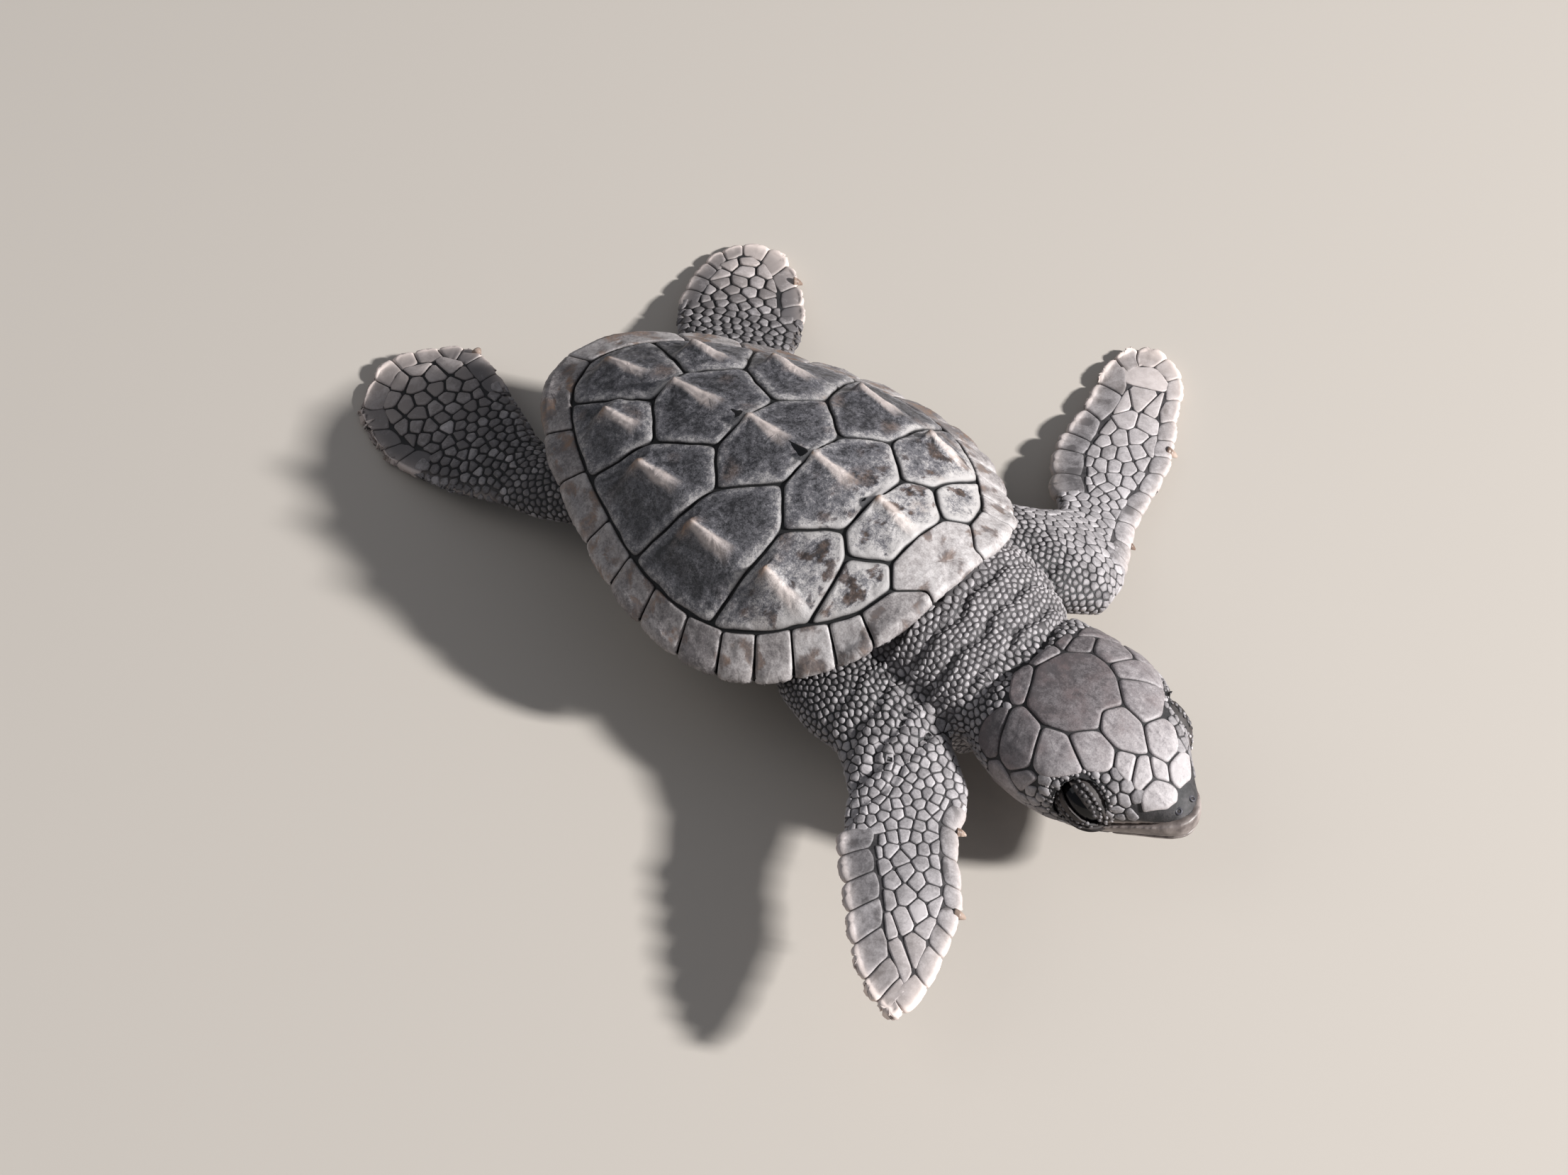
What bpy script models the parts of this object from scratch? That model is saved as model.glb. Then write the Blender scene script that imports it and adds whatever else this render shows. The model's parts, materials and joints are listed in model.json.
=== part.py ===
"""Loggerhead turtle hatchling, life size, as a still museum model.

Units are metres and +Z is up. The head points along +X and the floor is z = 0. The belly plate,
the left front flipper and both hind flippers rest on the floor, and the right front flipper is
held out above it. Sizes below are in millimetres; mm() turns them into metres.
"""

import math

import bmesh
import bpy
from mathutils import Matrix, Vector

# ---------------------------------------------------------------- driving sizes (millimetres)
GAP = 0.12                # parting between two touching pieces
CENTRE = (-2.325, 5.95)    # middle of the whole turtle's box, which becomes the origin
SHELL_CENTRE_X = -5.0     # the shell's rings close in on this point of the midline
SHELL_SIDES = 96          # points round a shell ring, four to each marginal scute
CARAPACE_THICK = 1.1
PLASTRON_THICK = 1.3
PLASTRON_FLAT = 0.55      # share of the plastron's reach that lies flat on the floor
TRUNK_EASE = 0.35         # room between the trunk and the shells that enclose it
TRUNK_REACH = 0.93        # the trunk's outline as a share of the plastron's
DOME_POWER = 2.2          # 2 is a round back, more is a flatter one with steeper sides
KEEL_HEIGHT = 0.75        # keels of the vertebral and costal scutes, at their rear peaks
SCALLOP = 0.16            # how far each marginal scute bulges from the rim

# the carapace from nape to tail: (x, half width, height of the rim)
RIM = [
    (16.8, 0.0, 17.0), (16.5, 3.2, 16.6), (15.9, 6.3, 15.7), (14.8, 9.2, 14.4),
    (13.0, 11.2, 12.8), (10.6, 13.4, 11.4), (8.0, 15.4, 10.4), (4.6, 17.0, 10.0),
    (0.4, 17.6, 10.0), (-4.6, 17.1, 10.3), (-9.2, 15.8, 10.7), (-14.0, 13.8, 11.2),
    (-19.8, 10.9, 11.7), (-24.8, 7.3, 11.9), (-27.8, 3.8, 11.8), (-29.2, 0.0, 11.6),
]
# the carapace along its midline: (x, height)
RIDGE = [
    (16.8, 17.0), (12.5, 18.1), (7.5, 19.0), (0.0, 19.4), (-7.5, 18.6), (-16.0, 16.8),
    (-22.5, 14.5), (-29.2, 11.6),
]
# rear peaks of the keels: (x, y) on the midline and down each side, and each ridge's length
VERTEBRAL_KEELS = [(8.0, 7.0), (0.6, 7.5), (-7.0, 7.5), (-15.4, 8.0), (-23.5, 7.0)]
COSTAL_KEELS = [(4.2, 10.6, 7.0), (-4.0, 10.8, 7.5), (-12.2, 8.6, 7.5), (-19.0, 5.6, 6.0)]
# the plastron with its bridges: (x, half width, height of its edge)
PLASTRON_RIM = [
    (13.2, 0.0, 4.0), (12.7, 3.8, 4.0), (11.0, 6.9, 4.3), (8.4, 9.6, 5.4), (5.8, 12.6, 7.8),
    (2.8, 14.8, 9.4), (-2.0, 15.4, 9.7), (-6.6, 14.6, 9.5), (-9.6, 12.0, 7.8), (-12.6, 9.2, 5.2),
    (-16.5, 7.2, 3.8), (-20.0, 4.8, 3.2), (-22.8, 0.0, 3.2),
]
# the neck: centre x, y, z, half width, half height
NECK = [
    (8.0, 0.4, 10.4, 7.2, 4.4), (12.0, 0.6, 10.2, 8.4, 5.2), (15.0, 0.8, 9.8, 9.0, 5.5),
    (18.0, 0.6, 9.5, 8.9, 5.6), (21.0, 0.0, 9.2, 8.4, 5.5), (23.6, -0.8, 8.9, 7.7, 5.4),
]
# the head: x, centre y, half width, top, bottom
HEAD = [
    (23.72, -0.2, 7.6, 13.8, 4.2), (25.6, -0.6, 8.0, 14.2, 4.0), (28.2, -1.0, 8.5, 14.5, 3.9),
    (31.0, -1.2, 8.7, 14.7, 4.0), (33.6, -1.4, 8.3, 14.6, 4.3), (36.0, -1.5, 7.4, 14.2, 4.7),
    (38.2, -1.7, 5.9, 13.7, 5.3), (40.0, -2.0, 4.3, 13.1, 6.0), (41.6, -2.2, 3.1, 12.4, 6.7),
    (42.8, -2.3, 2.2, 11.6, 7.3), (43.6, -2.4, 1.4, 10.8, 8.0), (43.95, -2.4, 0.7, 10.1, 8.5),
]
CHEEK = 0.24              # how much narrower the head is at the throat than at its widest
EYE_RADIUS = 2.3
EYES = {"eye_left": (36.0, 3.95, 10.5), "eye_right": (36.0, -7.05, 10.5)}
# the mouth: height of its line at two places, and where jaw and horn begin
MOUTH_LINE = [(33.4, 6.8), (44.5, 8.8)]
JAW_X = 33.4
UPPER_HORN = [(37.5, 1.0), (46.0, 1.9)]
LOWER_HORN = [(38.6, 0.8), (46.0, 1.1)]
TAIL = [
    (-17.0, 0.0, 8.2, 2.6, 2.4), (-21.0, 0.0, 7.6, 2.4, 2.2), (-25.0, 0.1, 6.4, 1.7, 1.6),
    (-28.0, 0.2, 5.2, 1.1, 1.0), (-30.4, 0.3, 4.3, 0.5, 0.45),
]
# limbs from root to tip: leading edge x, y, z, trailing edge x, y, z, thickness
FRONT_RIGHT = [
    (9.0, -4.5, 9.4, 4.6, -11.4, 8.6, 6.6), (13.6, -5.4, 9.2, 9.2, -14.2, 8.2, 7.4),
    (18.4, -6.7, 9.1, 13.2, -15.4, 8.2, 7.0), (22.0, -7.9, 9.0, 16.8, -15.5, 8.3, 6.0),
    (25.3, -9.7, 8.9, 19.4, -17.4, 8.5, 4.7), (27.9, -11.4, 8.8, 21.3, -19.6, 8.5, 3.7),
    (29.4, -13.3, 8.8, 22.8, -21.7, 8.5, 3.1), (30.1, -15.3, 8.8, 24.4, -23.7, 8.5, 2.7),
    (31.8, -17.4, 8.8, 26.2, -25.2, 8.5, 2.4), (33.8, -19.2, 8.8, 28.2, -27.1, 8.5, 2.2),
    (35.4, -21.0, 8.8, 30.0, -28.8, 8.5, 2.0), (36.6, -23.4, 8.8, 32.2, -30.6, 8.5, 1.8),
    (37.6, -26.0, 8.8, 34.6, -32.0, 8.5, 1.5), (38.5, -28.6, 8.8, 36.8, -32.7, 8.5, 1.2),
    (38.8, -31.0, 8.8, 38.2, -32.7, 8.7, 0.8),
]
FRONT_LEFT = [
    (9.0, 5.0, 9.4, 4.6, 11.4, 8.6, 6.6), (14.6, 6.6, 8.8, 8.6, 14.4, 7.8, 7.2),
    (19.8, 9.4, 7.4, 11.0, 17.4, 6.4, 6.6), (22.4, 13.0, 5.7, 11.6, 19.9, 5.0, 5.4),
    (21.2, 17.2, 4.4, 10.0, 21.4, 3.9, 4.2), (18.9, 20.9, 3.4, 8.1, 23.1, 3.0, 3.3),
    (17.0, 24.0, 2.7, 6.3, 25.4, 2.3, 2.7), (15.7, 27.3, 2.1, 4.7, 27.7, 1.8, 2.3),
    (14.8, 30.4, 1.7, 3.8, 30.1, 1.4, 2.1), (13.6, 33.7, 1.3, 3.2, 32.8, 1.1, 1.9),
    (11.9, 36.5, 1.0, 2.3, 35.6, 0.8, 1.7), (10.1, 39.0, 0.8, 1.1, 38.4, 0.6, 1.5),
    (8.8, 41.5, 0.6, 0.5, 41.1, 0.5, 1.3), (7.0, 43.6, 0.5, 0.9, 43.1, 0.45, 1.1),
    (4.8, 44.6, 0.45, 2.4, 44.3, 0.4, 0.9),
]
REAR_RIGHT = [
    (-15.0, -4.5, 8.6, -13.0, -9.4, 8.0, 5.0), (-19.6, -5.0, 7.4, -17.6, -10.8, 6.6, 5.0),
    (-24.0, -5.6, 6.2, -21.8, -12.0, 5.3, 4.4), (-28.0, -4.8, 5.2, -26.0, -12.4, 4.2, 3.5),
    (-31.6, -3.2, 4.6, -30.6, -13.4, 2.9, 2.7), (-35.1, -1.6, 4.0, -35.2, -13.5, 1.6, 2.1),
    (-38.4, 0.0, 3.3, -39.6, -13.5, 0.6, 1.7), (-41.6, 1.1, 2.7, -43.2, -12.3, 0.25, 1.4),
    (-44.1, 0.6, 2.1, -46.2, -10.9, 0.2, 1.2), (-46.4, -1.5, 1.6, -47.8, -8.1, 0.25, 1.0),
    (-48.0, -3.4, 1.2, -48.6, -5.9, 0.5, 0.8),
]
REAR_LEFT = [
    (-15.0, 4.5, 8.6, -13.0, 9.4, 8.0, 5.0), (-19.6, 6.6, 7.2, -15.4, 12.0, 6.6, 5.0),
    (-23.6, 9.4, 5.6, -17.2, 15.2, 5.2, 4.2), (-27.4, 12.6, 4.0, -18.8, 18.4, 3.9, 3.2),
    (-30.9, 15.5, 2.6, -20.5, 21.7, 2.7, 2.4), (-33.6, 18.8, 1.5, -22.8, 24.8, 1.7, 1.9),
    (-35.4, 22.4, 0.85, -25.2, 27.3, 0.95, 1.6), (-36.2, 26.0, 0.5, -27.9, 29.4, 0.6, 1.3),
    (-35.5, 28.4, 0.4, -30.5, 30.6, 0.45, 1.1), (-34.3, 29.8, 0.4, -32.5, 30.6, 0.4, 0.9),
]
# claws: root x, y, z, tip x, y, z, root radius
CLAWS = {
    "claw_front_right_1": (35.4, -21.7, 8.8, 36.8, -20.8, 8.7, 0.5),
    "claw_front_right_2": (30.2, -15.3, 8.8, 31.2, -14.5, 8.7, 0.4),
    "claw_front_left_1": (12.4, 34.8, 1.25, 14.0, 35.5, 1.1, 0.5),
    "claw_front_left_2": (17.8, 22.3, 3.1, 19.0, 22.8, 3.0, 0.4),
    "claw_rear_right_1": (-41.8, 0.7, 2.8, -42.6, 2.1, 2.75, 0.45),
    "claw_rear_left_1": (-27.4, 28.5, 1.0, -26.4, 29.5, 0.85, 0.45),
}
ARM_STATIONS = 5          # stations of a front limb that belong to the arm
LEG_STATIONS = 4          # stations of a hind limb that belong to the leg

COLOURS = {
    "skin": ((0.30, 0.29, 0.31), 0.62),
    "shell": ((0.16, 0.16, 0.18), 0.6),
    "plastron": ((0.42, 0.38, 0.34), 0.6),
    "beak": ((0.10, 0.09, 0.10), 0.5),
    "claw": ((0.45, 0.40, 0.36), 0.45),
    "eye": ((0.006, 0.006, 0.008), 0.08),
}

for old in list(bpy.data.objects):
    bpy.data.objects.remove(old, do_unlink=True)

turtle = bpy.data.collections.new("turtle")
cutters = bpy.data.collections.new("cutters")
for group in (turtle, cutters):
    bpy.context.scene.collection.children.link(group)
cutters.hide_render = True


def mm(x, y, z):
    """A point in millimetres as a vector in metres."""
    return Vector((x, y, z)) * 0.001


def material(node, slot):
    """Each piece's own Principled material, in its slot's colour."""
    colour, roughness = COLOURS[slot]
    made = bpy.data.materials.new(node)
    made.use_nodes = True
    shader = made.node_tree.nodes["Principled BSDF"]
    shader.inputs["Base Color"].default_value = (*colour, 1.0)
    shader.inputs["Roughness"].default_value = roughness
    return made


def link(name, bm, slot=None):
    """Finishes a bmesh as an object: a piece of the turtle, or a cutter where no slot is given."""
    bmesh.ops.translate(bm, verts=bm.verts[:], vec=-mm(*CENTRE, 0.0))
    bmesh.ops.recalc_face_normals(bm, faces=bm.faces[:])
    if bm.calc_volume(signed=True) < 0:
        bmesh.ops.reverse_faces(bm, faces=bm.faces[:])
    mesh = bpy.data.meshes.new(name)
    bm.to_mesh(mesh)
    bm.free()
    made = bpy.data.objects.new(name, mesh)
    if slot:
        mesh.materials.append(material(name, slot))
        turtle.objects.link(made)
    else:
        cutters.objects.link(made)
        made.hide_render = True
        made.display_type = "WIRE"
    return made


def loft(rings):
    """A closed skin over rings of equal count, flat-capped at both ends."""
    bm = bmesh.new()
    rows = [[bm.verts.new(point) for point in ring] for ring in rings]
    count = len(rings[0])
    for near, far in zip(rows, rows[1:]):
        for i in range(count):
            j = (i + 1) % count
            bm.faces.new((near[i], near[j], far[j], far[i]))
    bm.faces.new(rows[0])
    bm.faces.new(rows[-1])
    return bm


def smooth_between(stations, x, column):
    """A column of the stations at x, through them all without overshoot (x falls along them)."""
    xs = [row[0] for row in stations]
    ys = [row[column] for row in stations]
    x = min(max(x, xs[-1]), xs[0])
    k = 0
    while k < len(xs) - 2 and x < xs[k + 1]:
        k += 1

    def slope(i):
        if i == 0 or i == len(xs) - 1:
            j = min(i, len(xs) - 2)
            return (ys[j + 1] - ys[j]) / (xs[j + 1] - xs[j])
        a = (ys[i] - ys[i - 1]) / (xs[i] - xs[i - 1])
        b = (ys[i + 1] - ys[i]) / (xs[i + 1] - xs[i])
        return 0.0 if a * b <= 0 else 2 * a * b / (a + b)

    step = xs[k + 1] - xs[k]
    t = (x - xs[k]) / step
    a, b = slope(k) * step, slope(k + 1) * step
    return (
        (2 * t**3 - 3 * t**2 + 1) * ys[k] + (t**3 - 2 * t**2 + t) * a
        + (3 * t**2 - 2 * t**3) * ys[k + 1] + (t**3 - t**2) * b
    )


def outline(stations, count):
    """Points round a symmetric outline, evenly spaced by length, starting at the front."""
    fine = []
    for a, b in zip(stations, stations[1:]):
        for k in range(40):
            x = a[0] + (b[0] - a[0]) * k / 40
            fine.append((x, smooth_between(stations, x, 1)))
    fine.append((stations[-1][0], 0.0))
    lengths = [0.0]
    for a, b in zip(fine, fine[1:]):
        lengths.append(lengths[-1] + math.dist(a, b))
    half = []
    k = 0
    for i in range(count // 2 + 1):
        want = lengths[-1] * i / (count // 2)
        while k < len(fine) - 2 and lengths[k + 1] < want:
            k += 1
        t = (want - lengths[k]) / (lengths[k + 1] - lengths[k])
        half.append(tuple(a + (b - a) * t for a, b in zip(fine[k], fine[k + 1])))
    return half + [(x, -y) for x, y in reversed(half[1:-1])]


def keel(x, y, peak_x, peak_y, length):
    """A saw-toothed ridge that climbs rearward to its peak and drops behind it."""
    along = x - peak_x
    rise = max(0.0, 1 - along / length) if along > 0 else max(0.0, 1 + along / 1.6)
    return KEEL_HEIGHT * rise**1.3 * math.exp(-(((y - peak_y) / 1.3) ** 2))


def back(x, y, keels=True):
    """Height of the carapace's outer face, or of its plain dome."""
    rim = smooth_between(RIM, x, 2)
    ridge = smooth_between(RIDGE, x, 1)
    half = max(smooth_between(RIM, x, 1), 1e-3)
    share = min(abs(y) / half, 1.0)
    height = rim + (ridge - rim) * (1 - share**DOME_POWER)
    if not keels:
        return height
    for peak_x, length in VERTEBRAL_KEELS:
        height += keel(x, y, peak_x, 0.0, length)
    for peak_x, peak_y, length in COSTAL_KEELS:
        height += keel(x, abs(y), peak_x, peak_y, length)
    return height


def toward_rim(point, share, spread=0.0):
    """A point on the way from the shell's centre to its rim; spread pushes it on, in mm."""
    x, y = point[0] - SHELL_CENTRE_X, point[1]
    reach = math.hypot(x, y)
    k = share + spread / reach
    return SHELL_CENTRE_X + x * k, y * k


def carapace_rings(grow):
    """From the middle of the back out to the rim and back beneath it."""
    rim = outline(RIM, SHELL_SIDES)
    rings = []
    for share in (0.04, 0.18, 0.33, 0.48, 0.62, 0.74, 0.84, 0.93):
        ring = []
        for point in rim:
            x, y = toward_rim(point, share, grow)
            ring.append(mm(x, y, back(x, y) + grow))
        rings.append(ring)
    top, low = [], []
    for i, point in enumerate(rim):
        bulge = SCALLOP * abs(math.sin(math.pi * i / 4)) + grow
        x, y = toward_rim(point, 1.0, bulge - 0.1)
        top.append(mm(x, y, back(*point) - 0.15 + grow))
        low.append(mm(x, y, back(*point) - 0.75 - grow))
    rings += [top, low]
    for share in (0.94, 0.76, 0.46, 0.08):
        ring = []
        for point in rim:
            x, y = toward_rim(point, share, grow)
            ring.append(mm(x, y, back(x, y, keels=False) - CARAPACE_THICK - grow))
        rings.append(ring)
    return rings


def plastron_floor(share):
    """How far up its edge height the plastron has climbed at a share of its reach."""
    return max(0.0, (share - PLASTRON_FLAT) / (1 - PLASTRON_FLAT)) ** 1.7


def plastron_rings(grow, filled=False):
    """The outer face from its middle to the edge, then the inner face back, or a lid."""
    rim = outline(PLASTRON_RIM, SHELL_SIDES // 2)
    edges = [smooth_between(PLASTRON_RIM, point[0], 2) for point in rim]
    rings = []
    for share in (0.05, 0.3, PLASTRON_FLAT, 0.68, 0.8, 0.9, 0.97):
        ring = []
        for point, edge in zip(rim, edges):
            x, y = toward_rim(point, share, grow)
            ring.append(mm(x, y, edge * plastron_floor(share) - grow))
        rings.append(ring)
    rings.append([mm(*toward_rim(p, 1.0, grow), e + 0.1) for p, e in zip(rim, edges)])
    rings.append([mm(*toward_rim(p, 0.985, grow), e + 0.75 + grow) for p, e in zip(rim, edges)])
    for share in (0.93, 0.84, 0.72, 0.55, 0.3, 0.05):
        ring = []
        for point, edge in zip(rim, edges):
            x, y = toward_rim(point, share, grow)
            inner = edge * plastron_floor(share) + PLASTRON_THICK
            lid = edge * share + 8.0 * (1 - share) + 0.75
            ring.append(mm(x, y, (lid if filled else inner) + grow))
        rings.append(ring)
    return rings


def trunk_rings(grow):
    """The body between the shells: its belly follows the plastron and its back the carapace."""
    rim = outline(PLASTRON_RIM, SHELL_SIDES // 2)
    edges = [smooth_between(PLASTRON_RIM, point[0], 2) for point in rim]
    shares = (0.06, 0.32, 0.58, 0.78, TRUNK_REACH)
    belly, spine = [], []
    for share in shares:
        low, high = [], []
        for point, edge in zip(rim, edges):
            x, y = toward_rim(point, share, grow)
            inner = edge * plastron_floor(share) + PLASTRON_THICK + TRUNK_EASE - grow
            low.append(mm(x, y, inner))
            roof = back(x, y, keels=False) - CARAPACE_THICK - TRUNK_EASE
            high.append(mm(x, y, roof + grow))
        belly.append(low)
        spine.append(high)
    return belly + spine[::-1]


def oval(centre, half_width, half_height, power=2.4, count=24, grow=0.0):
    """An upright squared oval across the x axis."""
    ring = []
    for i in range(count):
        turn = 2 * math.pi * i / count
        c, s = math.cos(turn), math.sin(turn)
        y = math.copysign(abs(c) ** (2 / power), c) * (half_width + grow)
        z = math.copysign(abs(s) ** (2 / power), s) * (half_height + grow)
        ring.append(mm(centre[0], centre[1] + y, centre[2] + z))
    return ring


def neck_rings(grow):
    return [oval(row[:3], row[3], row[4], grow=grow) for row in NECK]


def head_rings():
    """The whole head: full at the cheeks, flat on top, drawn in to the beak."""
    rings = []
    for x, y, half, top, bottom in HEAD:
        middle, deep = (top + bottom) / 2, (top - bottom) / 2
        ring = oval((x, 0.0, middle), half, deep, power=2.6, count=28)
        for point in ring:
            below = max(0.0, (middle + 0.2 * deep) * 0.001 - point.z) / (1.2 * deep * 0.001)
            point.y = point.y * (1 - CHEEK * below**1.3) + y * 0.001
        rings.append(ring)
    return rings


def blade_ring(station, normal, count=18):
    """A limb's section: round at its leading edge, thinner toward the trailing edge."""
    lead, trail, thick = Vector(station[:3]), Vector(station[3:6]), station[6]
    ring = []
    for i in range(count):
        turn = 2 * math.pi * i / count
        c, s = math.cos(turn), math.sin(turn)
        across = trail + (lead - trail) * (1 + c) / 2
        full = thick / 2 * s * (0.86 + 0.14 * c)
        ring.append((across + normal * full) * 0.001)
    return ring


def limb_rings(stations, first, last, shift=0.0):
    """The rings of a run of stations; shift moves the first one tipward to leave the parting."""
    middles = [(Vector(row[:3]) + Vector(row[3:6])) / 2 for row in stations]
    rings = []
    for i in range(first, last):
        ahead = middles[min(i + 1, len(stations) - 1)] - middles[max(i - 1, 0)]
        chord = Vector(stations[i][:3]) - Vector(stations[i][3:6])
        normal = ahead.cross(chord).normalized()
        if normal.z < 0:
            normal.negate()
        ring = blade_ring(stations[i], normal)
        if i == first and shift:
            ring = [point + ahead.normalized() * shift * 0.001 for point in ring]
        rings.append(ring)
    return rings


def claw_bm(row):
    """A short cone from root to tip."""
    root, tip, radius = Vector(row[:3]), Vector(row[3:6]), row[6]
    along = tip - root
    bm = bmesh.new()
    place = Matrix.Translation((root + along / 2) * 0.001)
    turn = along.to_track_quat("Z", "Y").to_matrix().to_4x4()
    bmesh.ops.create_cone(
        bm, cap_ends=True, segments=12, radius1=radius * 0.001, radius2=radius * 0.00025,
        depth=along.length * 0.001, matrix=place @ turn,
    )
    return bm


def box_bm(low, high):
    """A box between two corners in mm."""
    bm = bmesh.new()
    low, high = mm(*low), mm(*high)
    scale = Matrix.Diagonal((*(high - low), 1.0))
    bmesh.ops.create_cube(bm, size=1.0, matrix=Matrix.Translation((low + high) / 2) @ scale)
    return bm


def ball_bm(centre, radius, u=16, v=9):
    bm = bmesh.new()
    place = Matrix.Translation(mm(*centre))
    bmesh.ops.create_uvsphere(bm, u_segments=u, v_segments=v, radius=radius * 0.001, matrix=place)
    return bm


def cut(piece, tool, operation="DIFFERENCE"):
    """One exact Boolean on a piece."""
    made = piece.modifiers.new(tool.name, "BOOLEAN")
    made.operation = operation
    made.solver = "EXACT"
    made.object = tool


# ---------------------------------------------------------------- cutters
floor_cutter = link("cut_floor", box_bm((-60, -60, -10), (60, 60, 0)))
trunk_cutter = link("cut_trunk", loft(trunk_rings(GAP)))
carapace_cutter = link("cut_carapace", loft(carapace_rings(2 * GAP)))
plastron_cutter = link("cut_plastron", loft(plastron_rings(2 * GAP, filled=True)))
neck_cutter = link("cut_neck", loft(neck_rings(GAP)))

# ---------------------------------------------------------------- shell and body
carapace = link("carapace", loft(carapace_rings(0.0)), "shell")
plastron = link("plastron", loft(plastron_rings(0.0)), "plastron")
trunk = link("trunk", loft(trunk_rings(0.0)), "skin")
neck = link("neck", loft(neck_rings(0.0)), "skin")
tail = link("tail", loft([oval(r[:3], r[3], r[4], 2.0, 14) for r in TAIL]), "skin")
for piece in (neck, tail):
    for tool in (trunk_cutter, carapace_cutter, plastron_cutter):
        cut(piece, tool)

# ---------------------------------------------------------------- head
def mouth(x):
    """Height of the mouth line at x."""
    (x0, z0), (x1, z1) = MOUTH_LINE
    return z0 + (z1 - z0) * (x - x0) / (x1 - x0)


def prism_bm(side):
    """A prism across the head from its outline seen from the side, (x, z) in mm."""
    bm = bmesh.new()
    face = bm.faces.new([bm.verts.new(mm(x, -14.0, z)) for x, z in side])
    pushed = bmesh.ops.extrude_face_region(bm, geom=[face])
    moved = [item for item in pushed["geom"] if isinstance(item, bmesh.types.BMVert)]
    bmesh.ops.translate(bm, verts=moved, vec=mm(0, 26.0, 0))
    return bm


# The mouth line parts the jaws, and a slab of horn lies along it above and below.
(upper_x, upper_low), (tip_x, upper_high) = UPPER_HORN
(lower_x, lower_low), (tip_x, lower_high) = LOWER_HORN
half_gap = GAP / 2
upper_side = [
    (upper_x, mouth(upper_x) + half_gap), (tip_x, mouth(tip_x) + half_gap),
    (tip_x, mouth(tip_x) + upper_high), (upper_x, mouth(upper_x) + upper_low),
]
lower_side = [
    (lower_x, mouth(lower_x) - half_gap), (tip_x, mouth(tip_x) - half_gap),
    (tip_x, mouth(tip_x) - lower_high), (lower_x, mouth(lower_x) - lower_low),
]
jaw_side = [
    (JAW_X, mouth(JAW_X) - half_gap), (lower_x - GAP, mouth(lower_x) - half_gap),
    (lower_x - GAP, mouth(lower_x) - lower_low - GAP), (tip_x, mouth(tip_x) - lower_high - GAP),
    (tip_x, -2.0), (JAW_X - 3.0, -2.0),
]
skull_side = [
    (JAW_X - GAP, mouth(JAW_X) + half_gap), (upper_x - GAP, mouth(upper_x) + half_gap),
    (upper_x - GAP, mouth(upper_x) + upper_low + GAP), (tip_x, mouth(tip_x) + upper_high + GAP),
    (tip_x, -2.0), (JAW_X - 3.0 - GAP, -2.0),
]
head = link("head", loft(head_rings()), "skin")
cut(head, link("cut_skull", prism_bm(skull_side)))
for name, side, slot in (
    ("lower_jaw", jaw_side, "skin"),
    ("beak_upper", upper_side, "beak"),
    ("beak_lower", lower_side, "beak"),
):
    cut(link(name, loft(head_rings()), slot), link("keep_" + name, prism_bm(side)), "INTERSECT")

for name, centre in EYES.items():
    link(name, ball_bm(centre, EYE_RADIUS), "eye")
    cut(head, link("cut_" + name, ball_bm(centre, EYE_RADIUS + GAP)))

# ---------------------------------------------------------------- limbs
LIMBS = {
    "front_right": (FRONT_RIGHT, ARM_STATIONS, "arm"),
    "front_left": (FRONT_LEFT, ARM_STATIONS, "arm"),
    "rear_right": (REAR_RIGHT, LEG_STATIONS, "leg"),
    "rear_left": (REAR_LEFT, LEG_STATIONS, "leg"),
}
claw_tools = {}
for name, row in CLAWS.items():
    link(name, claw_bm(row), "claw")
    claw_tools[name] = link("cut_" + name, claw_bm((*row[:6], row[6] + GAP)))

for name, (stations, split, part) in LIMBS.items():
    root = link(f"{part}_{name}", loft(limb_rings(stations, 0, split)), "skin")
    fin_rings = limb_rings(stations, split - 1, len(stations), GAP)
    fin = link(f"flipper_{name}", loft(fin_rings), "skin")
    for tool in (trunk_cutter, carapace_cutter, plastron_cutter):
        cut(root, tool)
    if part == "arm":
        cut(root, neck_cutter)
    for claw_name, tool in claw_tools.items():
        if name in claw_name:
            cut(fin, tool)
    cut(fin, floor_cutter)
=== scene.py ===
# %% [markdown]
# A loggerhead turtle hatchling at life size, held in one still stride as a museum model.
# The animal is 93 mm from hind flippers to beak, so every size below is in millimetres and in
# the turtle's own coordinates: x runs forward along its back, y to its left and z up from the
# floor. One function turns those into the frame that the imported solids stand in.

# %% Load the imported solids
import json
import math

import bmesh
import bpy
import numpy as np
from mathutils import Matrix, Vector, noise
from mathutils.bvhtree import BVHTree
from mathutils.kdtree import KDTree

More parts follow.
